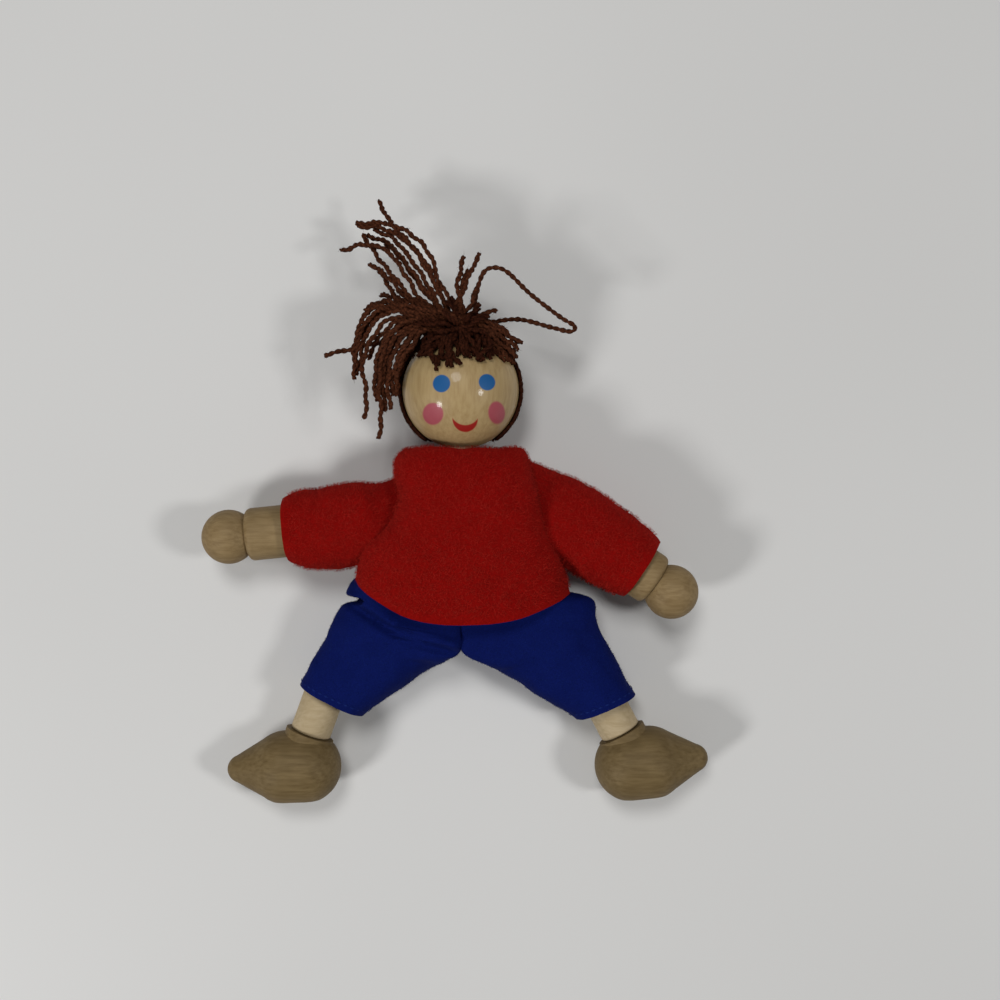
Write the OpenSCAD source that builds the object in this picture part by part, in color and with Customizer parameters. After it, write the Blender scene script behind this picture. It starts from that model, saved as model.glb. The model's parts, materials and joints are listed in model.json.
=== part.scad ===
// Bendable miniature doll: wooden beads on soft wire, a felt sweater, cotton trousers, yarn hair.
// The doll lies on its back, with +Z out of its belly, +Y towards its head and +X towards its left.

/* [Head] */
// Diameter of the wooden head ball
head_d = 22; // [20:0.5:24]
// Distance from the arm wire to the middle of the head
head_rise = 20.2; // [19:0.1:23]
// Diameter of the neck dowel
neck_d = 5; // [4:0.5:6]
// How far the neck dowel reaches into the head
neck_in_head = 7; // [5:0.5:8]
// How far the neck dowel reaches into the torso
neck_in_torso = 5; // [3:0.5:5.5]

/* [Torso] */
// Diameter of the torso block at the shoulders
torso_top_d = 12.4; // [11:0.1:12.6]
// Diameter of the torso block at the hips
torso_hip_d = 16; // [14:0.5:16.5]
// Length of the torso block
torso_len = 26.7; // [25:0.1:28]
// Room between the torso block and the chin
chin_gap = 1.5; // [1.5:0.1:3]
// Height of the torso and head axis above the table
axis_z = 11.4; // [11.2:0.1:12.5]

/* [Arms] */
// Distance from the midline to each shoulder bend
shoulder_x = 12.8; // [12.8:0.1:15]
// Height of the arms above the table
arm_z = 10; // [8:0.1:12]
// Length from the shoulder bend to the elbow bend
upper_arm_len = 14; // [13:0.5:20]
// Length from the elbow bend to the wrist
forearm_len = 15; // [13:0.5:20]
// Diameter of the barrel beads on arms and thighs
bead_d = 10; // [8:0.1:10.2]
// Diameter of the hand balls
hand_d = 10.3; // [8:0.1:12]
// Width of the flat where the hand meets the wrist
wrist_d = 7.6; // [5:0.1:7.8]

/* [Legs] */
// Distance from the midline to each hip bend
hip_x = 7.5; // [7.3:0.1:9]
// Distance from the torso block down to the hip bends
hip_drop = 6.9; // [6.8:0.1:8]
// Height of the legs above the table
leg_z = 7; // [7:0.1:8]
// Length from the hip bend to the knee bend
thigh_len = 17.6; // [16:0.1:22]
// Length from the knee bend to the top of the foot
shin_len = 14.4; // [13:0.1:20]
// Diameter of the ankle peg
shin_d = 7.8; // [6:0.1:8.4]

/* [Feet] */
// Width of each foot
foot_d = 14; // [12:0.1:14]
// Length of each foot from heel to toe
foot_len = 21.8; // [20:0.1:26]
// Length of the even part of the foot, between heel and toe
foot_even = 3.5; // [2:0.1:5]
// Roundness of the toe
toe_r = 2.7; // [2:0.1:3]
// How far the middle of the heel lies behind the neck
heel_back = 1.3; // [0:0.1:1.5]
// Distance from the middle of the foot to its sole
sole_drop = 6.3; // [5:0.1:6.6]
// Angle from the leg to the foot
foot_pitch = 68; // [60:1:80]
// Height of the turned neck on top of the foot, from the middle of the foot
foot_neck = 6.8; // [6.2:0.1:8]
// Diameter of the neck on top of the foot
foot_neck_d = 9.4; // [7:0.1:10]

/* [Wire] */
// Diameter of the limb wire
wire_d = 2; // [1.4:0.1:2.2]
// Room around the wire in each bore
wire_fit = 0.05; // [0.02:0.01:0.1]
// How far the leg wires reach into the torso
leg_wire_in = 7; // [5:0.5:9]

/* [Sweater] */
// Thickness of the felt
felt_t = 1; // [0.6:0.1:1.2]
// Outer diameter of the sleeves
sleeve_d = 12.4; // [12.3:0.1:12.8]
// Length of the sleeve beyond the elbow
sleeve_past_elbow = 8.6; // [7:0.1:10]
// Half width of the sweater at the chest
chest_half = 11; // [10.5:0.1:11.2]
// Half width of the sweater at its hem
hem_half = 19.8; // [17:0.1:20]
// Half depth of the sweater at the belly
belly_half = 11.4; // [11:0.1:12]
// Half width of the neck opening
collar_half = 5.5; // [5:0.1:7]
// Length of the sweater from collar to hem at the front
sweater_len = 33.3; // [31:0.1:35]
// How much higher the hem runs at the sides
hem_side_rise = 8.4; // [8:0.1:10]
// How much higher the hem runs at the back
hem_back_rise = 5; // [5:0.1:8]

/* [Trousers] */
// Thickness of the cotton
cotton_t = 0.6; // [0.4:0.1:0.8]
// Outer diameter of the trouser legs
trouser_d = 13; // [12.4:0.1:13.2]
// Length of the trouser leg beyond the knee
cuff_past_knee = 7.3; // [6:0.1:9]
// Half width of the trousers at the hip corners
seat_half = 22.4; // [20:0.1:23]
// Length of the trouser seat from waist to hip corners
seat_len = 10; // [9:0.1:12]

/* [Hair] */
// Thickness of the yarn glued to the head
hair_t = 1; // [0.6:0.1:1.2]
// Diameter of a yarn bunch at its root
bunch_d = 1.9; // [1.2:0.1:2]
// Diameter of a yarn bunch at its tip
bunch_tip_d = 1; // [0.6:0.1:1.2]
// Height of the hairline on the forehead above the middle of the head
hairline = 5; // [3:0.1:7]

/* [Pose] */
// Angle of the right upper arm below level
right_arm_angle = 23.4; // [15:0.1:30]
// Angle of the right forearm below level
right_forearm_angle = 6; // [0:0.1:20]
// Angle of the left upper arm below level
left_arm_angle = 32.8; // [25:0.1:33]
// Angle of the left forearm below level
left_forearm_angle = 34; // [25:0.1:45]
// Angle of the right thigh below level
right_thigh_angle = 19.3; // [19:0.1:40]
// Angle of the right shin below level
right_shin_angle = 70; // [50:0.1:80]
// Angle of the left thigh below level
left_thigh_angle = 21.5; // [19:0.1:40]
// Angle of the left shin below level
left_shin_angle = 62; // [50:0.1:80]

/* [Clearance] */
// Room between cloth and what it covers
cloth_gap = 0.2; // [0.1:0.05:0.3]
// Room around a cloth end that turns in its socket
socket_gap = 0.3; // [0.2:0.05:0.4]
// Room between pieces that only meet face to face
face_gap = 0.1; // [0.05:0.05:0.2]

/* [Hidden] */
$fn = 48;
RIGHT = -1;
LEFT = 1;

// Moves the doll so that the middle of its box stands over the origin.
frame_shift = [0.51, 0.63, 0];

// Heights along the body, measured from the arm wire.
head_y = head_rise;
head_r = head_d / 2;
chin_flat = 0.4;
neck_show = 1.3;
torso_top_y = head_y - head_r - chin_gap;
torso_bottom_y = torso_top_y - torso_len;
hip_y = torso_bottom_y - hip_drop;
collar_y = torso_top_y + neck_show;

// Wire and its bends.
wire_r = wire_d / 2;
bend_bulge = 0.25;
bend_r = wire_r + bend_bulge;
bend_gap = 0.1;
cap_in_r = bend_r + wire_fit;
cap_wall = 0.65;
cap_out_r = cap_in_r + cap_wall;
wire_start = bend_r + bend_gap;
wire_start_two_way = cap_out_r + bend_gap;
bore_r = wire_r + wire_fit;
leg_wire_slant = 2.4;
leg_wire_low = 3.2;
leg_wire_root = [hip_x - leg_wire_slant, torso_bottom_y + leg_wire_in, axis_z - leg_wire_low];

// Beads.
bead_r = bead_d / 2;
bead_edge = bead_r - wrist_d / 2;
hand_r = hand_d / 2;
hand_offset = sqrt(pow(hand_r, 2) - pow(wrist_d / 2, 2));
shin_r = shin_d / 2;
foot_r = foot_d / 2;
toe_at = foot_len - foot_r - toe_r;
taper_dip = 0.06;

// Sleeves and trouser legs.
sleeve_r = sleeve_d / 2;
sleeve_in_r = sleeve_r - felt_t;
elbow_ball_r = sleeve_in_r - cloth_gap;
elbow_bend = 60;
socket_r = sleeve_r + socket_gap;
trouser_r = trouser_d / 2;
trouser_in_r = trouser_r - cotton_t;
hip_ball_r = trouser_r + cloth_gap;
knee_ball_r = trouser_in_r - cloth_gap;
knee_bend = 97;
end_gap = 0.2;
slot_side = 16;
slot_steps = 4;
ball_turn = 120;
over = 1;
bead_lead = 0.9;
bead_root = wire_start_two_way + bead_lead;
far = 60;

arm_angle = function(side) side == RIGHT ? right_arm_angle : left_arm_angle;
forearm_angle = function(side) side == RIGHT ? right_forearm_angle : left_forearm_angle;
thigh_angle = function(side) side == RIGHT ? right_thigh_angle : left_thigh_angle;
shin_angle = function(side) side == RIGHT ? right_shin_angle : left_shin_angle;

// Colours as the doll shows them.
HEAD_WOOD = [0.87, 0.74, 0.55];
BEAD_WOOD = [0.66, 0.56, 0.44];
PEG_WOOD = [0.80, 0.70, 0.56];
STEEL = [0.60, 0.60, 0.62];
FELT_RED = [0.74, 0.06, 0.07];
COTTON_BLUE = [0.06, 0.14, 0.50];
YARN_BROWN = [0.25, 0.13, 0.09];

// Frames of the body and the limbs: each limb piece is drawn along +X from its own bend.
module in_frame() {
    translate(frame_shift) children();
}

module on_side(side) {
    in_frame() mirror([side == RIGHT ? 1 : 0, 0, 0]) children();
}

module on_upper_arm(side) {
    on_side(side) translate([shoulder_x, 0, arm_z]) rotate([0, 0, -arm_angle(side)]) children();
}

module on_forearm(side) {
    on_upper_arm(side) translate([upper_arm_len, 0, 0])
        rotate([0, 0, arm_angle(side) - forearm_angle(side)]) children();
}

module on_thigh(side) {
    on_side(side) translate([hip_x, hip_y, leg_z]) rotate([0, 0, -thigh_angle(side)]) children();
}

module on_shin(side) {
    on_thigh(side) translate([thigh_len, 0, 0])
        rotate([0, 0, thigh_angle(side) - shin_angle(side)]) children();
}

// Turned shapes along +X.
module along_x() {
    rotate([0, 90, 0]) children();
}

module rod(from, to, r) {
    translate([from, 0, 0]) along_x() cylinder(h = to - from, r = r);
}

// Half of a profile, kept on the side of the axis that is turned.
module right_half() {
    intersection() {
        children();
        translate([0, -far]) square([far, 2 * far]);
    }
}

module turned(from, to, r, edge) {
    along_x() rotate_extrude() {
        translate([0, from]) square([r - edge, to - from]);
        translate([0, from + edge]) square([r, to - from - 2 * edge]);
        translate([r - edge, from + edge]) circle(edge);
        translate([r - edge, to - edge]) circle(edge);
    }
}

// A straight stretch of wire with a ball at each bend on it, turned about +Z.
module wire(from, to, bends) {
    rotate_extrude() right_half() {
        translate([0, from]) square([wire_r, to - from]);
        for (at = bends) translate([0, at]) circle(bend_r);
    }
}

module bead(from, to, r, edge) {
    difference() {
        turned(from, to, r, edge);
        rod(from - over, to + over, bore_r);
    }
}

// A point on a limb's axis that both sides of a bend keep clear of, as a roof-shaped end.
module bend_relief(at, angle, one_way) {
    lean = far * tan(angle / 2);
    other_side = one_way ? [[far, 0]] : [[-lean, far], [far, far]];
    translate([at, 0, -far]) linear_extrude(2 * far)
        polygon(concat([[0, 0]], other_side, [[far, -far], [-lean, -far]]));
}

// Head and torso.
module head_ball() {
    color(HEAD_WOOD) in_frame() translate([0, head_y, axis_z]) rotate([90, 0, 0]) difference() {
        sphere(head_r);
        translate([0, 0, head_r - chin_flat]) cylinder(h = far, r = head_r);
        translate([0, 0, head_r - neck_in_head - face_gap]) cylinder(h = far, r = neck_d / 2 + wire_fit);
    }
}

module neck_dowel() {
    length = neck_in_torso + chin_gap + neck_in_head;
    color(PEG_WOOD) in_frame() translate([0, torso_top_y - neck_in_torso, axis_z])
        rotate([-90, 0, 0]) cylinder(h = length, r = neck_d / 2);
}

module leg_wire_path(side) {
    inner = leg_wire_root;
    outer = [hip_x, hip_y, leg_z];
    way = outer - inner;
    on_side(side) translate(inner) rotate([0, acos(way[2] / norm(way)), atan2(way[1], way[0])])
        children();
}

module torso_block() {
    top_r = torso_top_d / 2;
    hip_r = torso_hip_d / 2;
    edge = 2;
    straight = torso_top_y + sleeve_r + over;
    flare = 5;
    color(PEG_WOOD) difference() {
        in_frame() translate([0, torso_top_y, axis_z]) rotate([90, 0, 0]) rotate_extrude() {
            square([top_r - edge, torso_len]);
            translate([0, edge]) square([top_r, torso_len - 2 * edge]);
            translate([top_r - edge, edge]) circle(edge);
            translate([0, straight]) polygon([[0, 0], [top_r, 0], [hip_r, flare],
                [hip_r, torso_len - straight - edge], [0, torso_len - straight - edge]]);
            translate([0, torso_len - edge]) square([hip_r - edge, edge]);
            translate([hip_r - edge, torso_len - edge]) circle(edge);
        }
        in_frame() translate([0, torso_top_y - neck_in_torso - face_gap, axis_z])
            rotate([-90, 0, 0]) cylinder(h = far, r = neck_d / 2 + wire_fit);
        in_frame() translate([0, 0, arm_z]) rod(-far, far, bore_r);
        for (side = [RIGHT, LEFT])
            leg_wire_path(side) translate([0, 0, -face_gap]) cylinder(h = far, r = bore_r);
    }
}

module arm_wire() {
    color(STEEL) in_frame() translate([0, 0, arm_z]) along_x()
        wire(-shoulder_x, shoulder_x, [-shoulder_x, shoulder_x]);
}

module leg_wire(side) {
    length = norm([hip_x, hip_y, leg_z] - leg_wire_root);
    color(STEEL) leg_wire_path(side) wire(0, length, [length]);
}

// Bends that turn two ways: a thin cap between the wire's ball and the next stretch.
module bend_cap(keep_from) {
    difference() {
        sphere(cap_out_r);
        sphere(cap_in_r);
        translate([keep_from - far, -far / 2, -far / 2]) cube(far);
    }
}

shoulder_cap_from = 0.35;
hip_cap_from = 1;
module shoulder_bend(side) {
    color(STEEL) on_upper_arm(side) bend_cap(shoulder_cap_from);
}

module hip_bend(side) {
    color(STEEL) on_thigh(side) bend_cap(hip_cap_from);
}

// Arm pieces.
module upper_arm_wire(side) {
    color(STEEL) on_upper_arm(side) along_x() wire(wire_start_two_way, upper_arm_len, [upper_arm_len]);
}

module upper_arm_bead(side) {
    color(BEAD_WOOD) on_upper_arm(side)
        bead(elbow_ball_r + face_gap, upper_arm_len - elbow_ball_r - face_gap, bead_r, bead_edge);
}

module forearm_wire(side) {
    color(STEEL) on_forearm(side) rod(wire_start, forearm_len + hand_offset, wire_r);
}

module forearm_bead(side) {
    color(BEAD_WOOD) on_forearm(side)
        bead(elbow_ball_r + face_gap, forearm_len, bead_r, bead_edge);
}

module hand(side) {
    color(BEAD_WOOD) on_forearm(side) translate([forearm_len + face_gap / 2, 0, 0]) difference() {
        translate([hand_offset, 0, 0]) along_x() sphere(hand_r);
        translate([-far, -far / 2, -far / 2]) cube(far);
        rod(-over, hand_offset + face_gap, bore_r);
    }
}

// Cloth round a bend: a tube with a rounded inner end that the next tube slides over. The ball is turned
// so that its own seam stays clear of the slot and the bore.
module cloth_ball(at, r, wall) {
    translate([at, 0, 0]) rotate([0, 0, ball_turn]) difference() {
        sphere(r);
        sphere(r - wall);
    }
}

module cloth_tube(from, to, r, wall) {
    difference() {
        rod(from, to, r);
        rod(from - over, to + over, r - wall);
    }
}

// The way that the next stretch of wire sweeps through the rounded end.
module wire_slot(at, from_angle, to_angle) {
    width = wire_d + 4 * wire_fit;
    turns = [for (i = [0 : slot_steps]) from_angle + (to_angle - from_angle) * i / slot_steps];
    translate([at, 0, -width / 2]) linear_extrude(width)
        polygon(concat([[0, 0]], [for (a = turns) far / 2 * [cos(a), sin(a)]]));
}

module sleeve(side) {
    rim = 0.4;
    web = upper_arm_len - elbow_ball_r;
    slot_half = elbow_bend + slot_side;
    color(FELT_RED) on_upper_arm(side) difference() {
        union() {
            difference() {
                cloth_tube(rim, upper_arm_len - end_gap, sleeve_r, felt_t);
                bend_relief(upper_arm_len - end_gap, elbow_bend, false);
            }
            cloth_ball(upper_arm_len, elbow_ball_r, felt_t);
            difference() {
                rod(web + face_gap, web + felt_t, sleeve_r - felt_t / 2);
                translate([upper_arm_len, 0, 0]) sphere(elbow_ball_r - felt_t / 2);
            }
        }
        rod(web - over, upper_arm_len, wire_r + 2 * face_gap);
        wire_slot(upper_arm_len, -slot_half, slot_half);
    }
}

module sleeve_cuff(side) {
    color(FELT_RED) on_forearm(side) difference() {
        cloth_tube(end_gap, sleeve_past_elbow, sleeve_r, felt_t);
        mirror([1, 0, 0]) bend_relief(-end_gap, elbow_bend, false);
    }
}

// Leg pieces.
module thigh_wire(side) {
    color(STEEL) on_thigh(side) along_x() wire(wire_start_two_way, thigh_len, [thigh_len]);
}

module thigh_bead(side) {
    color(BEAD_WOOD) on_thigh(side)
        bead(bead_root, thigh_len - knee_ball_r - face_gap, bead_r, bead_edge);
}

module shin_wire(side) {
    color(STEEL) on_shin(side) rod(wire_start, shin_len + foot_neck, wire_r);
}

module ankle_peg(side) {
    edge = 0.6;
    color(PEG_WOOD) on_shin(side) bead(knee_ball_r + face_gap, shin_len, shin_r, edge);
}

// Loose cloth that hangs on the inner side of each trouser leg, clear of the bent knee.
fold_from = 1;
fold_to = 10.4;
fold_deep = 2.6;
fold_half = 4.4;
module trouser_fold() {
    translate([0, 0, -fold_half]) difference() {
        linear_extrude(2 * fold_half) polygon([[fold_from, 0], [fold_from, -trouser_r - cloth_gap],
            [fold_to, -trouser_r - fold_deep], [fold_to, 0]]);
        translate([0, 0, fold_half]) rod(-far, far, trouser_r - cotton_t / 2);
    }
}

module trouser_leg(side) {
    rim = 0.6;
    window_low = -wire_r - socket_gap;
    web = thigh_len - knee_ball_r;
    color(COTTON_BLUE) on_thigh(side) difference() {
        union() {
            difference() {
                along_x() rotate_extrude() right_half() difference() {
                    union() {
                        circle(hip_ball_r);
                        square([trouser_r, thigh_len - end_gap]);
                    }
                    circle(trouser_in_r);
                    square([trouser_in_r, far]);
                }
                bend_relief(thigh_len - end_gap, knee_bend, true);
                translate([rim - far, window_low, -far / 2]) cube(far);
            }
            trouser_fold();
            cloth_ball(thigh_len, knee_ball_r, cotton_t);
            difference() {
                rod(web + face_gap, web + cotton_t, trouser_r - cotton_t / 2);
                translate([thigh_len, 0, 0]) sphere(knee_ball_r - cotton_t / 2);
            }
        }
        rod(web - over, thigh_len, wire_r + 2 * face_gap);
        wire_slot(thigh_len, -knee_bend - slot_side, slot_side);
    }
}

module trouser_cuff(side) {
    hem = 1;
    seat = knee_ball_r + face_gap;
    color(COTTON_BLUE) on_shin(side) {
        difference() {
            cloth_tube(end_gap, cuff_past_knee, trouser_r, cotton_t);
            mirror([1, 0, 0]) bend_relief(-end_gap, knee_bend, true);
        }
        difference() {
            rod(seat, seat + hem, trouser_r - cotton_t / 2);
            rod(seat - over, seat + hem + over, shin_r + face_gap);
        }
    }
}

// A teardrop foot with a flat sole: a round heel, an even middle and a tapering, rounded toe.
module foot(side) {
    taper = asin((foot_r - toe_r) / (toe_at - foot_even));
    edge = [cos(taper), sin(taper)];
    color(BEAD_WOOD) on_shin(side) translate([shin_len + face_gap + foot_neck, 0, 0]) difference() {
        union() {
            rotate([0, 0, foot_pitch]) difference() {
                translate([-heel_back, 0, 0]) along_x() rotate_extrude() right_half() {
                    circle(foot_r);
                    square([foot_r, foot_even]);
                    translate([0, foot_even]) circle(foot_r);
                    translate([0, toe_at]) circle(toe_r);
                    polygon([[0, foot_even], [0, foot_even] + (foot_r - taper_dip) * edge,
                        [0, toe_at] + (toe_r - taper_dip) * edge, [0, toe_at]]);
                }
                translate([-far / 2, -far - sole_drop, -far / 2]) cube(far);
            }
            rod(-foot_neck - over, 0, foot_neck_d / 2);
        }
        translate([-foot_neck - far, -far / 2, -far / 2]) cube(far);
        rod(-foot_neck - over, face_gap, bore_r);
    }
}

// Rings of points joined into one closed skin. Without caps the last ring joins the first.
function quads(rings, count, closed) = [
    for (i = [0 : rings - (closed ? 1 : 2)])
        for (j = [0 : count - 1])
            let (a = i * count + j, b = i * count + (j + 1) % count,
                 c = ((i + 1) % rings) * count + (j + 1) % count, d = ((i + 1) % rings) * count + j)
                each [[a, b, c], [a, c, d]]
];

function fans(rings, count) = [
    for (j = [1 : count - 2]) each [[0, j + 1, j],
        [(rings - 1) * count, (rings - 1) * count + j, (rings - 1) * count + j + 1]]
];

function flatten(lists) = [for (one = lists) each one];

// A round-cornered oval: 2 is an ellipse, higher is squarer.
oval_power = 2.3;
oval_steps = 36;
function oval(a) = let (c = cos(a), s = sin(a))
    [sign(c) * pow(abs(c), 2 / oval_power), sign(s) * pow(abs(s), 2 / oval_power)];

// Sweater body: a felt shell whose sections follow u, from 0 at the collar to 1 at the hem.
shoulder_end = 0.06;
flare_start = 0.35;
flare_power = 0.75;
belly_start = 0.7;
sweater_steps = [0, 0.015, 0.06, 0.16, 0.3, 0.45, 0.57, 0.69, 0.84, 1];
function shoulder_round(u) = sqrt(1 - pow(1 - min(1, u / shoulder_end), 2));
function flare(u) = pow(max(0, (u - flare_start) / (1 - flare_start)), flare_power);
function sweater_w(u) = collar_half + (chest_half - collar_half) * shoulder_round(u)
    + (hem_half - chest_half) * flare(u);
function sweater_h(u) = collar_half + (belly_half - collar_half) * pow(min(1, u / belly_start), 0.4);
function sweater_z(u) = axis_z - (axis_z - belly_half) * min(1, u / belly_start);
function hem_lift(u, a) = pow(u, 3) * max(hem_side_rise * pow(abs(cos(a)), 2.2),
    sin(a) < 0 ? hem_back_rise * pow(-sin(a), 0.5) : 0);
function sweater_ring(u, inset) = [
    for (k = [0 : oval_steps - 1])
        let (a = -360 * k / oval_steps, o = oval(a))
            [(sweater_w(u) - inset) * o[0], collar_y - u * sweater_len + hem_lift(u, a),
             max(inset, sweater_z(u) + (sweater_h(u) - inset) * o[1])]
];

// A rounded shoulder inside each sleeve's root, open where the arm wire sweeps past.
shoulder_ball_r = elbow_ball_r;
shoulder_stem_wall = 1.3;
shoulder_stem_r = wire_r + shoulder_stem_wall;
sweep_sides = 24;
arm_lowers = 10;
arm_raises = 45;
arm_forwards = 45;
sweep_down = 69;
sweep_up = 48;
sweep_back = 18;
sweep_front = 63;
module shoulder_ball() {
    difference() {
        union() {
            sphere(shoulder_ball_r);
            rod(torso_top_d / 2 + face_gap - shoulder_x, 0, shoulder_stem_r);
        }
        sphere(shoulder_ball_r - felt_t);
        rod(-far, 0, wire_r + face_gap);
        rotate([0, 0, -sweep_down]) rotate_extrude(angle = sweep_down + sweep_up)
            polygon([[0, 0], far * [cos(sweep_back), -sin(sweep_back)], [far, far],
                far * [cos(sweep_front), sin(sweep_front)]]);
    }
}

// The felt's edge round each sleeve root, turned in as a cup.
module shoulder_cup() {
    rings = [for (u = sweater_steps) sweater_ring(u, 0)];
    difference() {
        intersection() {
            in_frame() polyhedron(flatten(rings),
                concat(quads(len(rings), oval_steps, false), fans(len(rings), oval_steps)));
            for (side = [RIGHT, LEFT])
                on_side(side) translate([shoulder_x, 0, arm_z]) sphere(socket_r + felt_t);
        }
        for (side = [RIGHT, LEFT])
            on_side(side) translate([shoulder_x, 0, arm_z]) rod(-far, 0, wire_r + face_gap);
        in_frame() translate([0, 0, axis_z]) rotate([90, 0, 0])
            cylinder(h = far, r = torso_top_d / 2 + face_gap, center = true);
    }
}

// The room that a sleeve sweeps beside the body.
module sleeve_sweep(side) {
    on_side(side) translate([shoulder_x, 0, arm_z]) {
        sphere(socket_r);
        hull() for (raise = [-arm_lowers, arm_raises], forward = [0, arm_forwards])
            rotate([0, 0, raise - arm_angle(side)]) rotate([0, -forward, 0])
                rod(wire_r, far / 2, socket_r + cloth_gap, $fn = sweep_sides);
    }
}

module sweater_body() {
    outside = [for (u = sweater_steps) sweater_ring(u, 0)];
    inside = [for (i = [len(sweater_steps) - 1 : -1 : 0]) sweater_ring(sweater_steps[i], felt_t)];
    rings = concat(outside, inside);
    color(FELT_RED) {
        difference() {
            union() {
                in_frame() polyhedron(flatten(rings), quads(len(rings), oval_steps, true));
                shoulder_cup();
            }
            sleeve_sweep(RIGHT);
            sleeve_sweep(LEFT);
        }
        for (side = [RIGHT, LEFT])
            on_side(side) translate([shoulder_x, 0, arm_z]) shoulder_ball();
    }
}

// Trouser seat: a cloth band round the torso block that widens to the hip corners.
seat_steps = [0, 0.25, 0.5, 0.75, 0.92, 1];
seat_waist_half = 10.2;
seat_tuck = 0.6;
seat_low = felt_t + seat_tuck;
seat_top = axis_z + torso_hip_d / 2 + cotton_t + seat_tuck;
seat_flare = 1.6;
corner_drop = 0.5;
waist_lift = 0.9;
seat_rise = 0.4;
function seat_y(v) = torso_bottom_y + seat_rise + seat_len * (1 - v);
function seat_w(v) = seat_waist_half + (seat_half - seat_waist_half) * pow(v, seat_flare);
function seat_ring(v) = [
    for (k = [0 : oval_steps - 1])
        let (a = -360 * k / oval_steps, o = oval(a), low = seat_low + waist_lift * (1 - v),
             h = (seat_top - low) / 2, flat = 1 - corner_drop * v * pow(o[0], 2))
            [seat_w(v) * o[0], seat_y(v) - v * abs(pow(cos(a), 3)), low + h + h * o[1] * flat]
];

module trouser_seat() {
    rings = [for (v = seat_steps) seat_ring(v)];
    color(COTTON_BLUE) difference() {
        in_frame() polyhedron(flatten(rings),
            concat(quads(len(rings), oval_steps, false), fans(len(rings), oval_steps)));
        in_frame() translate([0, 0, axis_z]) rotate([90, 0, 0])
            cylinder(h = far, r = torso_hip_d / 2 + seat_tuck);
    }
}

// Hair glued to the head: a shell at the back and a fringe on the forehead.
hair_in_r = head_r + face_gap;
hair_out_r = hair_in_r + hair_t;
hair_front = 1;
nape_gap = 1.2;

module hair_shell() {
    difference() {
        sphere(hair_out_r);
        sphere(hair_in_r);
    }
}

module hair_back() {
    color(YARN_BROWN) in_frame() difference() {
        translate([0, head_y, axis_z]) hair_shell();
        translate([-far / 2, 0, axis_z + hair_front]) cube(far);
        translate([-far / 2, collar_y + nape_gap - far, -far / 2]) cube(far);
        translate([-far / 2, 0, -far]) cube(far);
    }
}

module hair_fringe() {
    color(YARN_BROWN) in_frame() intersection() {
        translate([0, head_y, axis_z]) hair_shell();
        translate([-far / 2, head_y + hairline, axis_z + hair_front + face_gap]) cube(far);
    }
}

// A bunch of yarn: a tapering tube along a bent path from its root to its tip.
bunch_sides = 8;
bunch_rings = 8;
function bent(path, t) = pow(1 - t, 2) * path[0] + 2 * t * (1 - t) * path[1] + t * t * path[2];
function heading(path, t) = (1 - t) * (path[1] - path[0]) + t * (path[2] - path[1]);
function unit(v) = v / norm(v);
function ring_about(p, along, r) =
    let (across = unit(cross(along, [0.1, 0.2, 1])), up = unit(cross(across, along)))
        [for (k = [0 : bunch_sides - 1])
            let (a = 360 * k / bunch_sides) p + r * (cos(a) * across + sin(a) * up)];

// A root point moved to lie just on the glued hair, for a strand of radius r that leaves along way.
root_gap = 0.2;
function seated(p, way, r) =
    unit(p) * (hair_out_r + root_gap + r * norm(cross(unit(p), unit(way))));

module tube(points, headings, radii) {
    rings = [for (i = [0 : len(points) - 1]) ring_about(points[i], headings[i], radii[i])];
    polyhedron(flatten(rings),
        concat(quads(len(rings), bunch_sides, false), fans(len(rings), bunch_sides)));
}

module bunch(loose_path) {
    root = seated(loose_path[0], loose_path[1] - loose_path[0], bunch_d / 2);
    path = [root, loose_path[1], loose_path[2]];
    steps = [for (i = [0 : bunch_rings - 1]) i / (bunch_rings - 1)];
    in_frame() translate([0, head_y, axis_z]) tube(
        [for (t = steps) bent(path, t)],
        [for (t = steps) heading(path, t)],
        [for (t = steps) (bunch_d * (1 - t) + bunch_tip_d * t) / 2]);
}

// Paths of the bunches from the middle of the head: root, control point and tip.
TUFT = [
    [[-3.2, 12.8, 2], [-4, 27, 6], [-16, 36, 8]],
    [[-4.6, 12.4, 4], [-7, 26, 8], [-20, 31, 9]],
    [[-5.4, 12, 1], [-9, 22, 4], [-22.5, 26.5, 6]],
    [[-6.4, 11, 4], [-9, 19, 8], [-17, 24, 9]]
];
UPRIGHT = [
    [[-1, 13, 4], [-1, 19, 5], [0.5, 25.5, 6]],
    [[0.8, 13, 2], [1, 19, 3], [3.8, 25.5, 4]]
];
SIDE = [
    [[-8.4, 9.4, 4.4], [-18, 16, 8], [-20, 3, 8]],
    [[-7.2, 9, 6.4], [-18, 13, 11], [-18, -5, 8.5]],
    [[-6, 9, 8], [-15, 9, 13], [-15.6, -8.8, 9.5]],
    [[-8.6, 9.4, 2], [-14, 16, 4], [-18.5, 10, 5]]
];
RIGHT_SIDE = [
    [[5, 11.6, 4.6], [10, 13, 6], [11.6, 8.8, 6]],
    [[4.4, 10.6, 7.2], [9, 11, 9], [11.4, 6.4, 7.6]]
];
STRAY = [[[-9.6, 9, 0], [-15, 10, 2], [-26, 6.8, 3]]];
LOOP = [
    [2.6, 13, 3], [3, 17.5, 4.4], [4.4, 21.4, 5.6], [6.6, 22.2, 6], [9, 21.2, 6], [13, 17.4, 5.6],
    [18.6, 13.2, 5], [21.2, 11.6, 4.8], [20.6, 10.6, 4.4], [17, 11.4, 4], [11, 13, 3.2], [5.6, 12.8, 1]
];
loop_d = 1;

module hair_tuft() {
    color(YARN_BROWN) for (path = TUFT) bunch(path);
}

module hair_upright() {
    color(YARN_BROWN) for (path = UPRIGHT) bunch(path);
}

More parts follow.
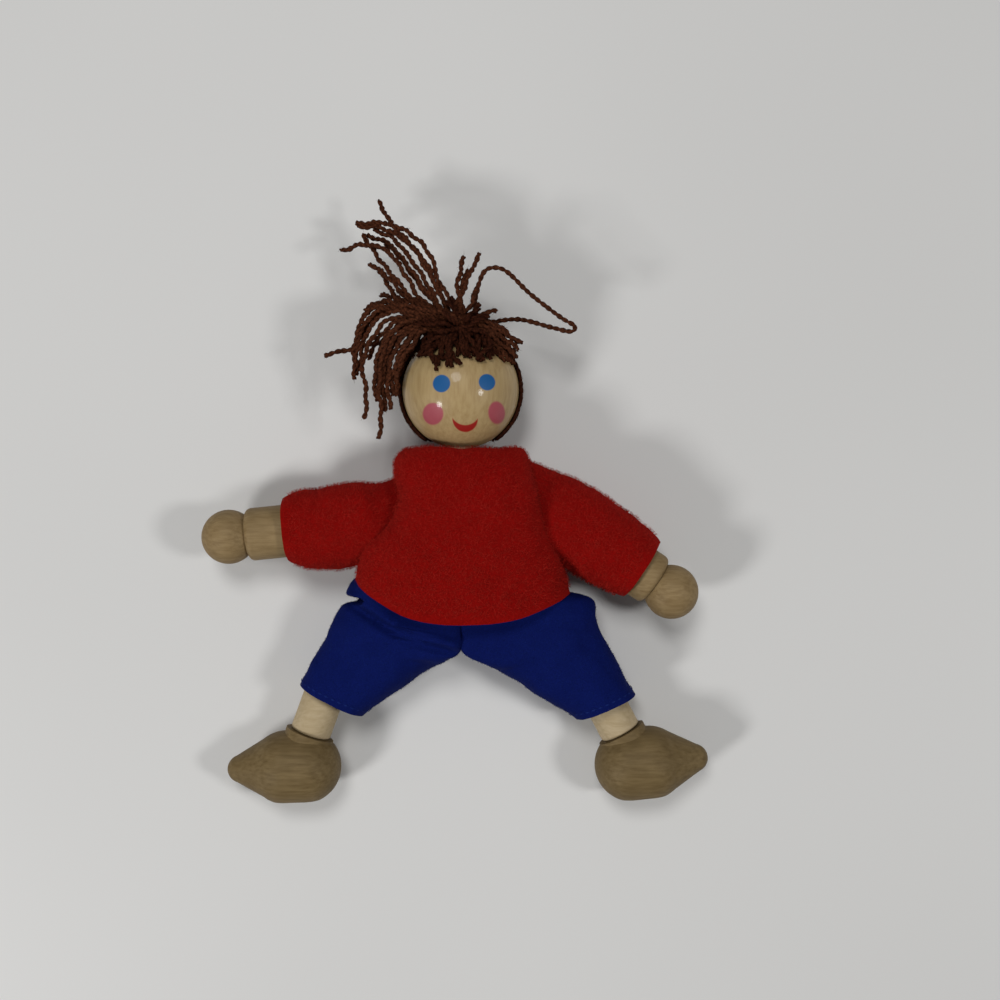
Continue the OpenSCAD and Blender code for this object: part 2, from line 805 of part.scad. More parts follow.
module hair_side() {
    color(YARN_BROWN) for (path = SIDE) bunch(path);
}

module hair_right() {
    color(YARN_BROWN) for (path = RIGHT_SIDE) bunch(path);
}

module hair_stray() {
    color(YARN_BROWN) for (path = STRAY) bunch(path);
}

module hair_loop() {
    last = len(LOOP) - 1;
    points = [
        for (i = [0 : last])
            i == 0 ? seated(LOOP[0], LOOP[1] - LOOP[0], loop_d / 2)
                : i == last ? seated(LOOP[last], LOOP[last - 1] - LOOP[last], loop_d / 2) : LOOP[i]
    ];
    color(YARN_BROWN) in_frame() translate([0, head_y, axis_z]) tube(
        points,
        [for (i = [0 : last]) points[min(last, i + 1)] - points[max(0, i - 1)]],
        [for (i = [0 : last]) loop_d / 2]);
}

head_ball();
neck_dowel();
torso_block();
arm_wire();
leg_wire(RIGHT);  // right_leg_wire
leg_wire(LEFT);  // left_leg_wire
sweater_body();
trouser_seat();
hair_back();
hair_fringe();
hair_tuft();
hair_upright();
hair_side();
hair_right();
hair_loop();
hair_stray();
shoulder_bend(RIGHT);  // right_shoulder_bend
shoulder_bend(LEFT);  // left_shoulder_bend
upper_arm_wire(RIGHT);  // right_upper_arm_wire
upper_arm_wire(LEFT);  // left_upper_arm_wire
upper_arm_bead(RIGHT);  // right_upper_arm_bead
upper_arm_bead(LEFT);  // left_upper_arm_bead
sleeve(RIGHT);  // right_sleeve
sleeve(LEFT);  // left_sleeve
forearm_wire(RIGHT);  // right_forearm_wire
forearm_wire(LEFT);  // left_forearm_wire
forearm_bead(RIGHT);  // right_forearm_bead
forearm_bead(LEFT);  // left_forearm_bead
hand(RIGHT);  // right_hand
hand(LEFT);  // left_hand
sleeve_cuff(RIGHT);  // right_sleeve_cuff
sleeve_cuff(LEFT);  // left_sleeve_cuff
hip_bend(RIGHT);  // right_hip_bend
hip_bend(LEFT);  // left_hip_bend
thigh_wire(RIGHT);  // right_thigh_wire
thigh_wire(LEFT);  // left_thigh_wire
thigh_bead(RIGHT);  // right_thigh_bead
thigh_bead(LEFT);  // left_thigh_bead
trouser_leg(RIGHT);  // right_trouser_leg
trouser_leg(LEFT);  // left_trouser_leg
shin_wire(RIGHT);  // right_shin_wire
shin_wire(LEFT);  // left_shin_wire
ankle_peg(RIGHT);  // right_ankle_peg
ankle_peg(LEFT);  // left_ankle_peg
trouser_cuff(RIGHT);  // right_trouser_cuff
trouser_cuff(LEFT);  // left_trouser_cuff
foot(RIGHT);  // right_foot
foot(LEFT);  // left_foot
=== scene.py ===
"""Looks of the bendable miniature doll: wood, felt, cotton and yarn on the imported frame, seen from above."""

import json
import math

import bpy
import numpy as np
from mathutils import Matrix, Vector

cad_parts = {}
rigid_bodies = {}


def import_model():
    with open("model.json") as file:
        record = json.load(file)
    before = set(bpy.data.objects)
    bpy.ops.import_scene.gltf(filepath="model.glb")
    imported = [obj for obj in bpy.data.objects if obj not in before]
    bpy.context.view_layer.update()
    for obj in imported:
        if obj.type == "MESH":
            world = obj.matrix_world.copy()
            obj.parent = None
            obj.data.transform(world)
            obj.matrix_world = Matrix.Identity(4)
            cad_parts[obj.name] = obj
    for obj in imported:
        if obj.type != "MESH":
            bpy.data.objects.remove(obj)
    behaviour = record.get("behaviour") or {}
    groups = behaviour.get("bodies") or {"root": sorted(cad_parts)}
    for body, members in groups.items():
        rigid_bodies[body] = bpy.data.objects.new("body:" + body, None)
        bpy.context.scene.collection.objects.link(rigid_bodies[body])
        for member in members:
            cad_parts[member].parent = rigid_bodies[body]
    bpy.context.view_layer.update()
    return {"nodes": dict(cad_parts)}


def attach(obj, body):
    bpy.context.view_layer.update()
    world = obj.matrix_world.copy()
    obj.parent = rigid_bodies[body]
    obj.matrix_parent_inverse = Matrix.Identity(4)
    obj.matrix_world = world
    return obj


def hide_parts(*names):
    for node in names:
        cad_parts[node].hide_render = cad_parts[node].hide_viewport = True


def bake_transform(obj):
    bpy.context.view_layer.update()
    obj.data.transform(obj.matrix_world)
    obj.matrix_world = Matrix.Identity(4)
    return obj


MM = 0.001
SIDES = {"right": -1.0, "left": 1.0}

# All lengths below are in millimetres, as the doll was measured; ORIGIN moves them to the row frame.
ORIGIN = np.array([0.4, 0.0, 0.0])
HEAD = np.array([0.11, 20.83, 11.4])
HEAD_R = 11.0
SHOULDER = {"right": np.array([-12.69, 0.63, 10.0]), "left": np.array([12.91, 0.63, 10.0])}
ARM_BELOW = {"right": 23.4, "left": 32.8}
FOREARM_BELOW = {"right": 6.0, "left": 34.0}
UPPER_ARM = 14.0
SHIN_BELOW = {"right": 70.0, "left": 62.0}

# The camera looks straight down on the lying doll; the picture's level is where its scale holds.
CAMERA_AT = np.array([7.52, 0.12, 274.0])
PICTURE_Z = 10.0
PICTURE_WIDTH = 190.0
PICTURE_PIXELS = 1000.0
SENSOR_WIDTH = 36.0

# Nothing loose reaches below this height above the table.
TABLE_GAP = 0.05

rng = np.random.default_rng(7)


def as_seen(x, y, z):
    """The point at height z that the camera shows where (x, y) lies on the picture's own level."""
    near = (CAMERA_AT[2] - z) / (CAMERA_AT[2] - PICTURE_Z)
    return np.array([CAMERA_AT[0] + (x - CAMERA_AT[0]) * near, CAMERA_AT[1] + (y - CAMERA_AT[1]) * near, z])


def in_picture(column, row, z):
    """The point at height z that the camera shows at a place in the square picture."""
    step = PICTURE_WIDTH / PICTURE_PIXELS
    half = PICTURE_PIXELS / 2
    return as_seen(CAMERA_AT[0] + (column - half) * step, CAMERA_AT[1] + (half - row) * step, z)


def limb_way(side, below):
    """The direction of a limb that hangs so many degrees below the horizontal of the picture."""
    a = math.radians(below)
    return np.array([SIDES[side] * math.cos(a), -math.sin(a), 0.0])


# Meshes

# Steps between two given points of a smooth line, waves in a soft noise, and a way that no strand starts in
SPLINE_STEPS = 24
NOISE_WAVES = 7
ASIDE = (0.3, 0.2, 1.0)


def mesh_object(name, points, faces, material, normals=None):
    """A smooth mesh from points in the doll's own millimetres."""
    mesh = bpy.data.meshes.new(name)
    mesh.from_pydata(((np.asarray(points) + ORIGIN) * MM).tolist(), [], [tuple(f) for f in faces])
    mesh.materials.append(material)
    mesh.polygons.foreach_set("use_smooth", [True] * len(mesh.polygons))
    mesh.update()
    if normals is not None:
        mesh.normals_split_custom_set_from_vertices(np.asarray(normals).reshape(-1, 3).tolist())
    obj = bpy.data.objects.new(name, mesh)
    bpy.context.collection.objects.link(obj)
    return obj


def grid_faces(rings, count, first=0):
    """Quads between neighbouring closed rings of count points each."""
    i, j = np.meshgrid(np.arange(rings - 1), np.arange(count), indexing="ij")
    k = (j + 1) % count
    quad = np.stack([i * count + j, i * count + k, (i + 1) * count + k, (i + 1) * count + j], axis=-1)
    return (quad.reshape(-1, 4) + first).tolist()


def spline(points, count):
    """Evenly spread points on a smooth line through the given ones."""
    p = np.asarray(points, float)
    p = np.vstack([2 * p[0] - p[1], p, 2 * p[-1] - p[-2]])
    fine = []
    for a, b, c, d in zip(p, p[1:], p[2:], p[3:]):
        for t in np.linspace(0, 1, SPLINE_STEPS, endpoint=False):
            fine.append(0.5 * (2 * b + (c - a) * t + (2 * a - 5 * b + 4 * c - d) * t**2
                               + (3 * b - a - 3 * c + d) * t**3))
    fine = np.array(fine + [p[-2]])
    run = np.concatenate([[0], np.cumsum(np.linalg.norm(np.diff(fine, axis=0), axis=1))])
    at = np.linspace(0, run[-1], count)
    return np.stack([np.interp(at, run, fine[:, k]) for k in range(fine.shape[1])], axis=1)


def length_of(points):
    """Length of the line through the points."""
    return float(np.linalg.norm(np.diff(points, axis=0), axis=1).sum())


def frames_along(line):
    """Two directions across a line at each point, turning as little as possible along it."""
    way = np.gradient(line, axis=0)
    way /= np.linalg.norm(way, axis=1)[:, None]
    across = np.cross(way[0], ASIDE)
    sides = []
    for w in way:
        across = across - w * across.dot(w)
        across = across / np.linalg.norm(across)
        sides.append(across)
    sides = np.array(sides)
    return sides, np.cross(way, sides)


def smooth_noise(points, scale, seed):
    """A soft random height at each point, about -1 to 1, from a few waves."""
    waves = np.random.default_rng(seed)
    total = np.zeros(len(points))
    for _ in range(NOISE_WAVES):
        way = waves.normal(size=3)
        way /= np.linalg.norm(way)
        total += np.sin(points @ way * waves.uniform(0.6, 1.5) * 2 * math.pi / scale + waves.uniform(0, 7))
    return total / 4


# Materials

# Wood: light and dark colour
HEAD_WOOD = (0.48, 0.345, 0.165), (0.38, 0.255, 0.11)
HEAD_CLOUD = (0.34, 0.225, 0.095)
BEAD_WOOD = (0.32, 0.225, 0.108), (0.215, 0.14, 0.06)
PALE_WOOD = (0.55, 0.44, 0.28), (0.42, 0.32, 0.18)
# The feet's wood is the beads' wood painted darker: painted shade, where the feet face away from the light.
SHADED_FOOT_WOOD = (0.215, 0.15, 0.066), (0.13, 0.085, 0.033)
# Wire: dark and light colour
STEEL = (0.30, 0.30, 0.31), (0.42, 0.42, 0.44)
# Cloth and yarn: deep and bright colour
RED_FELT = (0.19, 0.002, 0.0015), (0.34, 0.005, 0.004)
RED_FIBRE = (0.30, 0.006, 0.004), (0.52, 0.03, 0.02)
RED_SHEEN = (1.0, 0.12, 0.08)
BLUE_COTTON = (0.002, 0.006, 0.07), (0.004, 0.011, 0.115)
BLUE_FIBRE = (0.004, 0.012, 0.10), (0.010, 0.028, 0.18)
BLUE_THREAD = (0.006, 0.014, 0.11), (0.012, 0.03, 0.18)
# The glued hair's yarn is the brown yarn painted darker: painted shade of the dense crown, fringe and back.
SHADED_YARN = (0.010, 0.0025, 0.001), (0.055, 0.014, 0.006)
BROWN_YARN = (0.018, 0.005, 0.0022), (0.11, 0.034, 0.015)
# Paint of the face
EYE_BLUE = (0.006, 0.10, 0.30)
CHEEK_PINK = (0.40, 0.052, 0.095)
MOUTH_RED = (0.33, 0.014, 0.010)


class Shader:
    """A small helper that builds one material's nodes."""

    def __init__(self, name):
        self.material = bpy.data.materials.new(name)
        self.material.use_nodes = True
        self.tree = self.material.node_tree
        self.surface = self.tree.nodes["Principled BSDF"]

    def node(self, kind, **values):
        made = self.tree.nodes.new(kind)
        for key, value in values.items():
            setattr(made, key, value)
        return made

    def link(self, source, target):
        self.tree.links.new(source, target)

    def put(self, value, socket):
        """Feeds a socket from another node, or sets it to a number or a colour."""
        if isinstance(value, bpy.types.NodeSocket):
            self.link(value, socket)
        elif socket.type == "RGBA":
            socket.default_value = (*value, 1)
        else:
            socket.default_value = value

    def place(self, scale=(1, 1, 1), turn=(0, 0, 0)):
        """Coordinates of the piece itself, in millimetres, turned and stretched."""
        where = self.node("ShaderNodeTexCoord")
        mapping = self.node("ShaderNodeMapping")
        mapping.inputs["Rotation"].default_value = turn
        mapping.inputs["Scale"].default_value = [s / MM for s in scale]
        self.link(where.outputs["Object"], mapping.inputs["Vector"])
        return mapping.outputs["Vector"]

    def noise(self, where, scale, detail=3.0, rough=0.55):
        made = self.node("ShaderNodeTexNoise")
        made.inputs["Scale"].default_value = scale
        made.inputs["Detail"].default_value = detail
        made.inputs["Roughness"].default_value = rough
        self.link(where, made.inputs["Vector"])
        return made.outputs["Fac"]

    def ramp(self, factor, stops):
        made = self.node("ShaderNodeValToRGB")
        ends = made.color_ramp.elements
        while len(ends) < len(stops):
            ends.new(0.5)
        for end, (at, colour) in zip(ends, stops):
            end.position = at
            end.color = (*colour, 1)
        self.link(factor, made.inputs["Fac"])
        return made.outputs["Color"]

    def share(self, factor, low, high, most):
        """A share for mix that grows from 0 to most while factor goes from low to high."""
        return self.ramp(factor, [(low, (0, 0, 0)), (high, (most, most, most))])

    def mix(self, factor, first, second):
        made = self.node("ShaderNodeMix", data_type="RGBA")
        for at, value in ((0, factor), (6, first), (7, second)):
            self.put(value, made.inputs[at])
        return made.outputs[2]

    def maths(self, operation, first, second=0.0, third=0.0):
        made = self.node("ShaderNodeMath", operation=operation)
        for socket, value in zip(made.inputs, (first, second, third)):
            self.put(value, socket)
        return made.outputs[0]

    def bump(self, height, distance, strength):
        made = self.node("ShaderNodeBump")
        made.inputs["Strength"].default_value = strength
        made.inputs["Distance"].default_value = distance * MM
        self.link(height, made.inputs["Height"])
        self.link(made.outputs["Normal"], self.surface.inputs["Normal"])

    def finish(self, **inputs):
        """Sets the surface's inputs, named with _ for a space, and gives the material."""
        for name, value in inputs.items():
            self.put(value, self.surface.inputs[name.replace("_", " ")])
        return self.material


def wood(name, light, dark, turn):
    """Plain sanded wood with its grain along the direction turn, in degrees from +X."""
    s = Shader(name)
    turned = (0, 0, -math.radians(turn))
    grain = s.noise(s.place(scale=(0.12, 1.0, 1.0), turn=turned), scale=1.6, detail=4.0, rough=0.6)
    pores = s.noise(s.place(scale=(0.25, 2.4, 2.4), turn=turned), scale=2.2, detail=2.0)
    cloud = s.noise(s.place(), scale=0.16, detail=2.0)
    base = s.ramp(grain, [(0.3, dark), (0.62, light)])
    base = s.mix(s.maths("MULTIPLY", pores, 0.22), base, dark)
    base = s.mix(s.share(cloud, low=0.38, high=0.66, most=0.45), base, dark)
    s.bump(grain, distance=0.05, strength=0.35)
    return s.finish(Base_Color=base, Roughness=0.6, Specular_IOR_Level=0.2)


def felt(name, deep, bright):
    """Matted wool with a rough, fibrous surface."""
    s = Shader(name)
    at = s.place()
    fibre = s.noise(at, scale=3.2, detail=5.0, rough=0.7)
    patch = s.noise(at, scale=0.35, detail=2.0)
    base = s.ramp(fibre, [(0.3, deep), (0.68, bright)])
    base = s.mix(s.share(patch, low=0.35, high=0.7, most=0.3), base, deep)
    s.bump(fibre, distance=0.35, strength=0.8)
    return s.finish(Base_Color=base, Roughness=1.0, Specular_IOR_Level=0.03, Sheen_Weight=0.12,
                    Sheen_Roughness=0.6, Sheen_Tint=RED_SHEEN)


def cotton(name, deep, bright):
    """Thin plain-woven cloth."""
    s = Shader(name)
    at = s.place()
    thread = s.noise(at, scale=5.0, detail=2.0, rough=0.5)
    fold = s.noise(at, scale=0.3, detail=2.0)
    base = s.ramp(thread, [(0.3, deep), (0.7, bright)])
    base = s.mix(s.share(fold, low=0.4, high=0.7, most=0.35), base, deep)
    s.bump(thread, distance=0.08, strength=0.6)
    return s.finish(Base_Color=base, Roughness=0.9, Specular_IOR_Level=0.06)


def yarn_material(name, deep, bright):
    """Twisted wool, darker between its fibres."""
    s = Shader(name)
    fibre = s.noise(s.place(), scale=2.5, detail=3.0, rough=0.6)
    base = s.ramp(fibre, [(0.3, deep), (0.7, bright)])
    return s.finish(Base_Color=base, Roughness=0.9, Specular_IOR_Level=0.06)


def metal(name, dark, light):
    """Soft wire with faint streaks."""
    s = Shader(name)
    streak = s.noise(s.place(scale=(0.2, 1, 1)), scale=1.5)
    base = s.ramp(streak, [(0.3, dark), (0.7, light)])
    return s.finish(Base_Color=base, Metallic=1.0, Roughness=0.4)


# Spots of the face: centre and half widths. The mouth is what its second spot leaves of the first.
EYES = [((-3.10, 21.26), (1.6, 1.6)), ((5.16, 21.57), (1.5, 1.5))]
CHEEKS = [((-4.75, 15.88), (1.95, 1.95)), ((6.91, 16.17), (1.55, 2.0))]
MOUTH = [((1.15, 14.92), (2.31, 2.31)), ((1.17, 16.6), (2.77, 2.77))]
# How wide a spot's edge fades, and how well the pink covers the wood
PAINT_EDGE, CHEEK_EDGE = 0.12, 0.2
CHEEK_COVER = 0.9


def painted_head(name):
    """Varnished pale wood with a face printed on the front."""
    s = Shader(name)
    where = s.node("ShaderNodeTexCoord").outputs["Object"]
    split = s.node("ShaderNodeSeparateXYZ")
    s.link(where, split.inputs[0])
    x, y = (s.maths("MULTIPLY_ADD", split.outputs[k], 1 / MM, -ORIGIN[k]) for k in (0, 1))
    front = s.maths("GREATER_THAN", split.outputs[2], HEAD[2] * MM)

    def disc(centre, radius, edge=PAINT_EDGE):
        """1 inside a spot of that centre and half widths, soft at its edge."""
        u = s.maths("DIVIDE", s.maths("SUBTRACT", x, centre[0]), radius[0])
        v = s.maths("DIVIDE", s.maths("SUBTRACT", y, centre[1]), radius[1])
        far = s.maths("SQRT", s.maths("ADD", s.maths("MULTIPLY", u, u), s.maths("MULTIPLY", v, v)))
        soft = edge / radius[0]
        made = s.node("ShaderNodeMapRange", interpolation_type="SMOOTHSTEP")
        made.inputs["From Min"].default_value = 1 + soft
        made.inputs["From Max"].default_value = 1 - soft
        s.link(far, made.inputs["Value"])
        return s.maths("MULTIPLY", made.outputs["Result"], front)

    grain = s.noise(s.place(scale=(1.0, 0.12, 1.0)), scale=1.3, detail=4.0, rough=0.6)
    cloud = s.noise(s.place(), scale=0.12, detail=2.0)
    light, dark = HEAD_WOOD
    base = s.ramp(grain, [(0.3, dark), (0.62, light)])
    base = s.mix(s.maths("MULTIPLY", cloud, 0.25), base, HEAD_CLOUD)
    for spot, radius in CHEEKS:
        base = s.mix(s.maths("MULTIPLY", disc(spot, radius, CHEEK_EDGE), CHEEK_COVER), base, CHEEK_PINK)
    for spot, radius in EYES:
        base = s.mix(disc(spot, radius), base, EYE_BLUE)
    outer, inner = MOUTH
    smile = s.maths("MULTIPLY", disc(*outer), s.maths("SUBTRACT", 1.0, disc(*inner)))
    base = s.mix(smile, base, MOUTH_RED)
    return s.finish(Base_Color=base, Roughness=0.5, Specular_IOR_Level=0.3, Coat_Weight=0.25,
                    Coat_Roughness=0.1)


# Garments: rings of points round a body part, split where the cloth crosses a joint.

# Points in a ring, and how many rings back from a cut edge the inside is shown and the fuzz is left off
RING = 64
RIM_DEPTH = 10
RIM_BARE = 3
# A loose fibre's middle and tip, up and aside as shares of its length, and its least share of the full length
FIBRE_MIDDLE, FIBRE_TIP = (0.4, 0.3), (0.5, 0.9)
FIBRE_LEAST = 0.4
UP = np.array([0.0, 0.0, 1.0])


def oval_between(a, b, low, high, power, first_power=None):
    """A ring from a to b seen from above, as tall as low to high, and squarer the higher its power is."""
    t = 2 * math.pi * np.arange(RING) / RING
    c, s = np.cos(t), np.sin(t)
    power = np.where(c < 0, first_power or power, power)
    u = np.sign(c) * np.abs(c) ** (2 / power)
    v = np.sign(s) * np.abs(s) ** (2 / power)
    a, b = (np.array([p[0], p[1], (low + high) / 2]) for p in (a, b))
    return (a + b) / 2 + u[:, None] * (b - a) / 2 + v[:, None] * UP * (high - low) / 2


def outward(rings):
    """Outward directions of a surface made of rings."""
    down = np.gradient(rings, axis=0)
    round_it = (np.roll(rings, -1, axis=1) - np.roll(rings, 1, axis=1)) / 2
    normal = np.cross(round_it, down)
    normal /= np.maximum(np.linalg.norm(normal, axis=2), 1e-9)[..., None]
    return normal * facing_out(rings, normal)


def facing_out(rings, normals):
    """1 where a tube's directions point away from its middle line, -1 where they point inward."""
    return np.sign(((rings - rings.mean(axis=1, keepdims=True)) * normals).sum(axis=2).mean())


def crumple(rings, folds, seed):
    """Pushes a cloth surface in and out by soft folds: (depth, width) each."""
    flat = rings.reshape(-1, 3)
    push = sum(depth * smooth_noise(flat, width, seed + k) for k, (depth, width) in enumerate(folds))
    return rings + outward(rings) * push.reshape(rings.shape[:2])[..., None]


class Cloth:
    """A tube of cloth: its rings, their directions, and a rim where an edge of the cloth shows."""

    def __init__(self, rings, run, material, thickness, fuzz=None):
        self.rings, self.run = rings, np.asarray(run)
        self.normals = outward(rings)
        self.material, self.thickness, self.fuzz = material, thickness, fuzz

    def between(self, low, high):
        """The rings from one place along the cloth to another."""
        first = int(np.argmin(np.abs(self.run - low)))
        last = int(np.argmin(np.abs(self.run - high)))
        return slice(first, last + 1)

    def piece(self, name, low, high, bodies, axis=None, nodes=(), rim_first=False, rim_last=False):
        """The stretch from low to high, riding on one body, or baked in place between two bodies without
        bending.
        """
        part = self.between(low, high)
        rings, normals = self.rings[part], self.normals[part]
        shown, facing = rings, normals
        if rim_last:
            shown, facing = self.rimmed(shown, facing)
        if rim_first:
            shown, facing = (a[::-1] for a in self.rimmed(shown[::-1], facing[::-1]))
        faces = grid_faces(len(shown), RING)
        a, b, c = (rings.reshape(-1, 3)[k] for k in grid_faces(2, RING)[0][:3])
        if np.cross(b - a, c - b) @ normals[0, 0] < 0:
            faces = [face[::-1] for face in faces]
        made = [mesh_object(name, shown.reshape(-1, 3), faces, self.material, facing)]
        if self.fuzz:
            bare = -RIM_BARE if rim_last else None
            made.append(fuzz_piece(name + "_fuzz", rings[:bare], normals[:bare], *self.fuzz))
        self.follow(made, bodies, axis or blend_axis(rings))
        if nodes:
            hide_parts(*nodes)
        return made

    def rimmed(self, rings, normals):
        """Adds the cut edge after the last ring and a stretch of the inside."""
        back = np.arange(len(rings) - 1, max(0, len(rings) - RIM_DEPTH), -1)
        inner = rings[back] - normals[back] * self.thickness
        return np.concatenate([rings, inner]), np.concatenate([normals, -normals[back]])

    @staticmethod
    def follow(objects, bodies, axis):
        """Lets objects ride on one body; between two bodies they are only baked in place and don't bend. The
        axis is not used.
        """
        for obj in objects:
            if len(bodies) == 1:
                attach(obj, bodies[0])
            else:
                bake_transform(obj)

    def declare(self, low, high):
        """Picks out the stretch's rings, and does nothing more with them."""
        rings = self.rings[self.between(low, high)]


def blend_axis(rings):
    """Two points of an axis that a stretch would bend about, so that its first and last ring keep their shape.
    """
    first, last = rings[0], rings[-1]
    way = np.zeros(3)
    for ring in (first, last):
        a, b = ring[0] - ring[RING // 2], UP
        normal = np.cross(a, b)
        normal /= np.linalg.norm(normal)
        way += normal * np.sign(normal @ (last.mean(axis=0) - first.mean(axis=0)))
    way /= np.linalg.norm(way)
    middle = (first.mean(axis=0) + last.mean(axis=0)) / 2
    start, end = (first @ way).max(), (last @ way).min()
    return middle + way * (start - middle @ way), middle + way * (end - middle @ way)


def fuzz_piece(name, rings, normals, material, per_mm2, long, wide):
    """Short loose fibres standing off a cloth surface, as thin bent slivers."""
    a, b = rings[:-1], rings[1:]
    size = np.linalg.norm(np.cross(np.roll(a, -1, axis=1) - a, b - a), axis=2)
    count = int(size.sum() * per_mm2)
    cell = rng.choice(size.size, count, p=size.ravel() / size.sum())
    i, j = np.divmod(cell, RING)
    k = (j + 1) % RING
    u, v = rng.random((2, count, 1))
    root = (1 - u) * ((1 - v) * rings[i, j] + v * rings[i, k])
    root += u * ((1 - v) * rings[i + 1, j] + v * rings[i + 1, k])
    up = normals[i, j]
    lean = rng.normal(size=(count, 3))
    lean -= up * (lean * up).sum(axis=1)[:, None]
    lean /= np.linalg.norm(lean, axis=1)[:, None]
    side = np.cross(up, lean) * wide / 2
    size = long * rng.uniform(FIBRE_LEAST, 1.0, (count, 1))
    middle, tip = (root + size * (rise * up + aside * lean) for rise, aside in (FIBRE_MIDDLE, FIBRE_TIP))
    points = np.stack([root - side, root + side, middle - side, middle + side, tip], axis=1).reshape(-1, 3)
    points[:, 2] = np.maximum(points[:, 2], TABLE_GAP)
    first = 5 * np.arange(count)[:, None]
    faces = (first + [0, 1, 3, 2]).tolist() + (first + [2, 3, 4]).tolist()
    return mesh_object(name, points, faces, material)


def point(p):
    """A place on the doll as the frame has it, in metres."""
    return tuple((np.asarray(p) + ORIGIN) * MM)


# Sweater

FELT_T = 1.0
FELT_FUZZ = (7.0, 1.25, 0.055)  # fibres on a square millimetre, their length and width
BODY_ROWS = 96
BODY_LOW = 0.15
BODY = [
    # along the front, right and left edge, lowest and highest point
    (9.2, -5.6, 6.0, 8.0, 14.6),
    (9.8, -8.6, 9.2, 6.0, 15.8),
    (9.4, -10.9, 11.7, 4.0, 17.2),
    (7.2, -12.4, 13.1, 2.2, 18.8),
    (4.0, -12.4, 14.2, 1.2, 20.0),
    (0.0, -11.6, 15.2, 0.7, 20.7),
    (-4.0, -12.9, 16.2, 0.5, 21.1),
    (-8.0, -15.8, 17.2, 0.4, 21.4),
    (-12.0, -18.2, 18.6, 0.4, 21.7),
    (-16.0, -19.0, 19.5, 0.4, 21.8),
    (-19.6, -19.6, 20.2, 0.4, 21.7),
    (-22.7, -19.9, 20.7, 0.4, 21.5),
]
# How square its rings are at the collar, and how much less so at the hem
BODY_POWER, POWER_DROP = 3.1, 0.7
# How far the hem rises from the front towards both sides and the back
HEM_RISE = {"right": 7.9, "left": 5.3, "back": 3.0}
# Soft folds, as depth and width, and the seed of their places
BODY_FOLDS, BODY_SEED = [(0.28, 10.0), (0.12, 4.0)], 11
SLEEVE_FOLDS, SLEEVE_SEED = [(0.32, 9.0), (0.12, 3.5)], {"right": 31, "left": 21}

SLEEVES = {
    # along the arm, cloth above and below the arm's line, lowest and highest point
    "right": [(-6, 3.6, 6.2, 4.6, 12.8), (-2, 3.4, 7.0, 4.0, 13.2), (2, 3.8, 7.8, 3.6, 15.4),
              (5.5, 5.4, 8.5, 3.4, 17.4), (10, 6.6, 8.9, 3.3, 17.6), (14, 7.2, 8.5, 3.3, 17.2),
              (18.0, 7.4, 7.4, 3.4, 16.7), (20.4, 6.9, 6.5, 3.5, 16.6), (21.5, 6.4, 5.9, 3.6, 16.5)],
    "left": [(-6, 6.0, 6.0, 4.6, 12.8), (-2, 6.6, 6.8, 4.0, 13.0), (2, 7.2, 7.2, 3.6, 14.2),
             (6.5, 7.8, 7.3, 3.4, 17.2), (11, 8.2, 7.4, 3.3, 17.6), (16, 8.0, 7.4, 3.3, 17.2),
             (20.5, 7.5, 7.0, 3.4, 16.7), (24, 6.9, 6.4, 3.5, 16.6), (25.4, 6.4, 5.9, 3.6, 16.5)],
}
# The sleeve passes from torso to shoulder and upper arm between these places along the arm, and it bends
# this far before and after the elbow.
SLEEVE_CUTS = (-6, -3, 3)
ELBOW_BEND = 5.0
SLEEVE_ROWS = 64
SLEEVE_POWER = 2.25


def body_rings(count):
    """Rings from the collar to the hem, the last ones raised at the sides and the back."""
    t = 2 * math.pi * np.arange(RING) / RING
    side_share = np.abs(np.cos(t)) ** 2
    rise = np.where(np.cos(t) > 0, HEM_RISE["left"], HEM_RISE["right"]) * side_share
    back = np.where(np.sin(t) < 0, HEM_RISE["back"] * np.abs(np.sin(t)) ** 0.7, 0.0)
    rings = []
    for u, (y, right, left, low, high) in zip(np.linspace(0, 1, count), spline(BODY, count)):
        ring = oval_between((right, y), (left, y), low, high, BODY_POWER - POWER_DROP * u * u)
        ring[:, 1] += u**3 * np.maximum(rise, back)
        rings.append(ring)
    return np.array(rings)


def sleeve_rings(side):
    """Rings along the arm, and how far along it each one is."""
    stations = spline(SLEEVES[side], SLEEVE_ROWS)
    arm, fore = limb_way(side, ARM_BELOW[side]), limb_way(side, FOREARM_BELOW[side])
    elbow = SHOULDER[side] + UPPER_ARM * arm
    rings = []
    for along, above, below, low, high in stations:
        turn = min(1.0, max(0.0, (along - UPPER_ARM + ELBOW_BEND) / (2 * ELBOW_BEND)))
        way = arm + (fore - arm) * turn * turn * (3 - 2 * turn)
        way /= np.linalg.norm(way)
        past = along - UPPER_ARM
        middle = elbow + past * (arm if past < 0 else fore)
        normal = np.array([-way[1], way[0], 0]) * SIDES[side]
        rings.append(oval_between(middle + above * normal, middle - below * normal, low, high, SLEEVE_POWER))
    return np.array(rings), stations[:, 0]


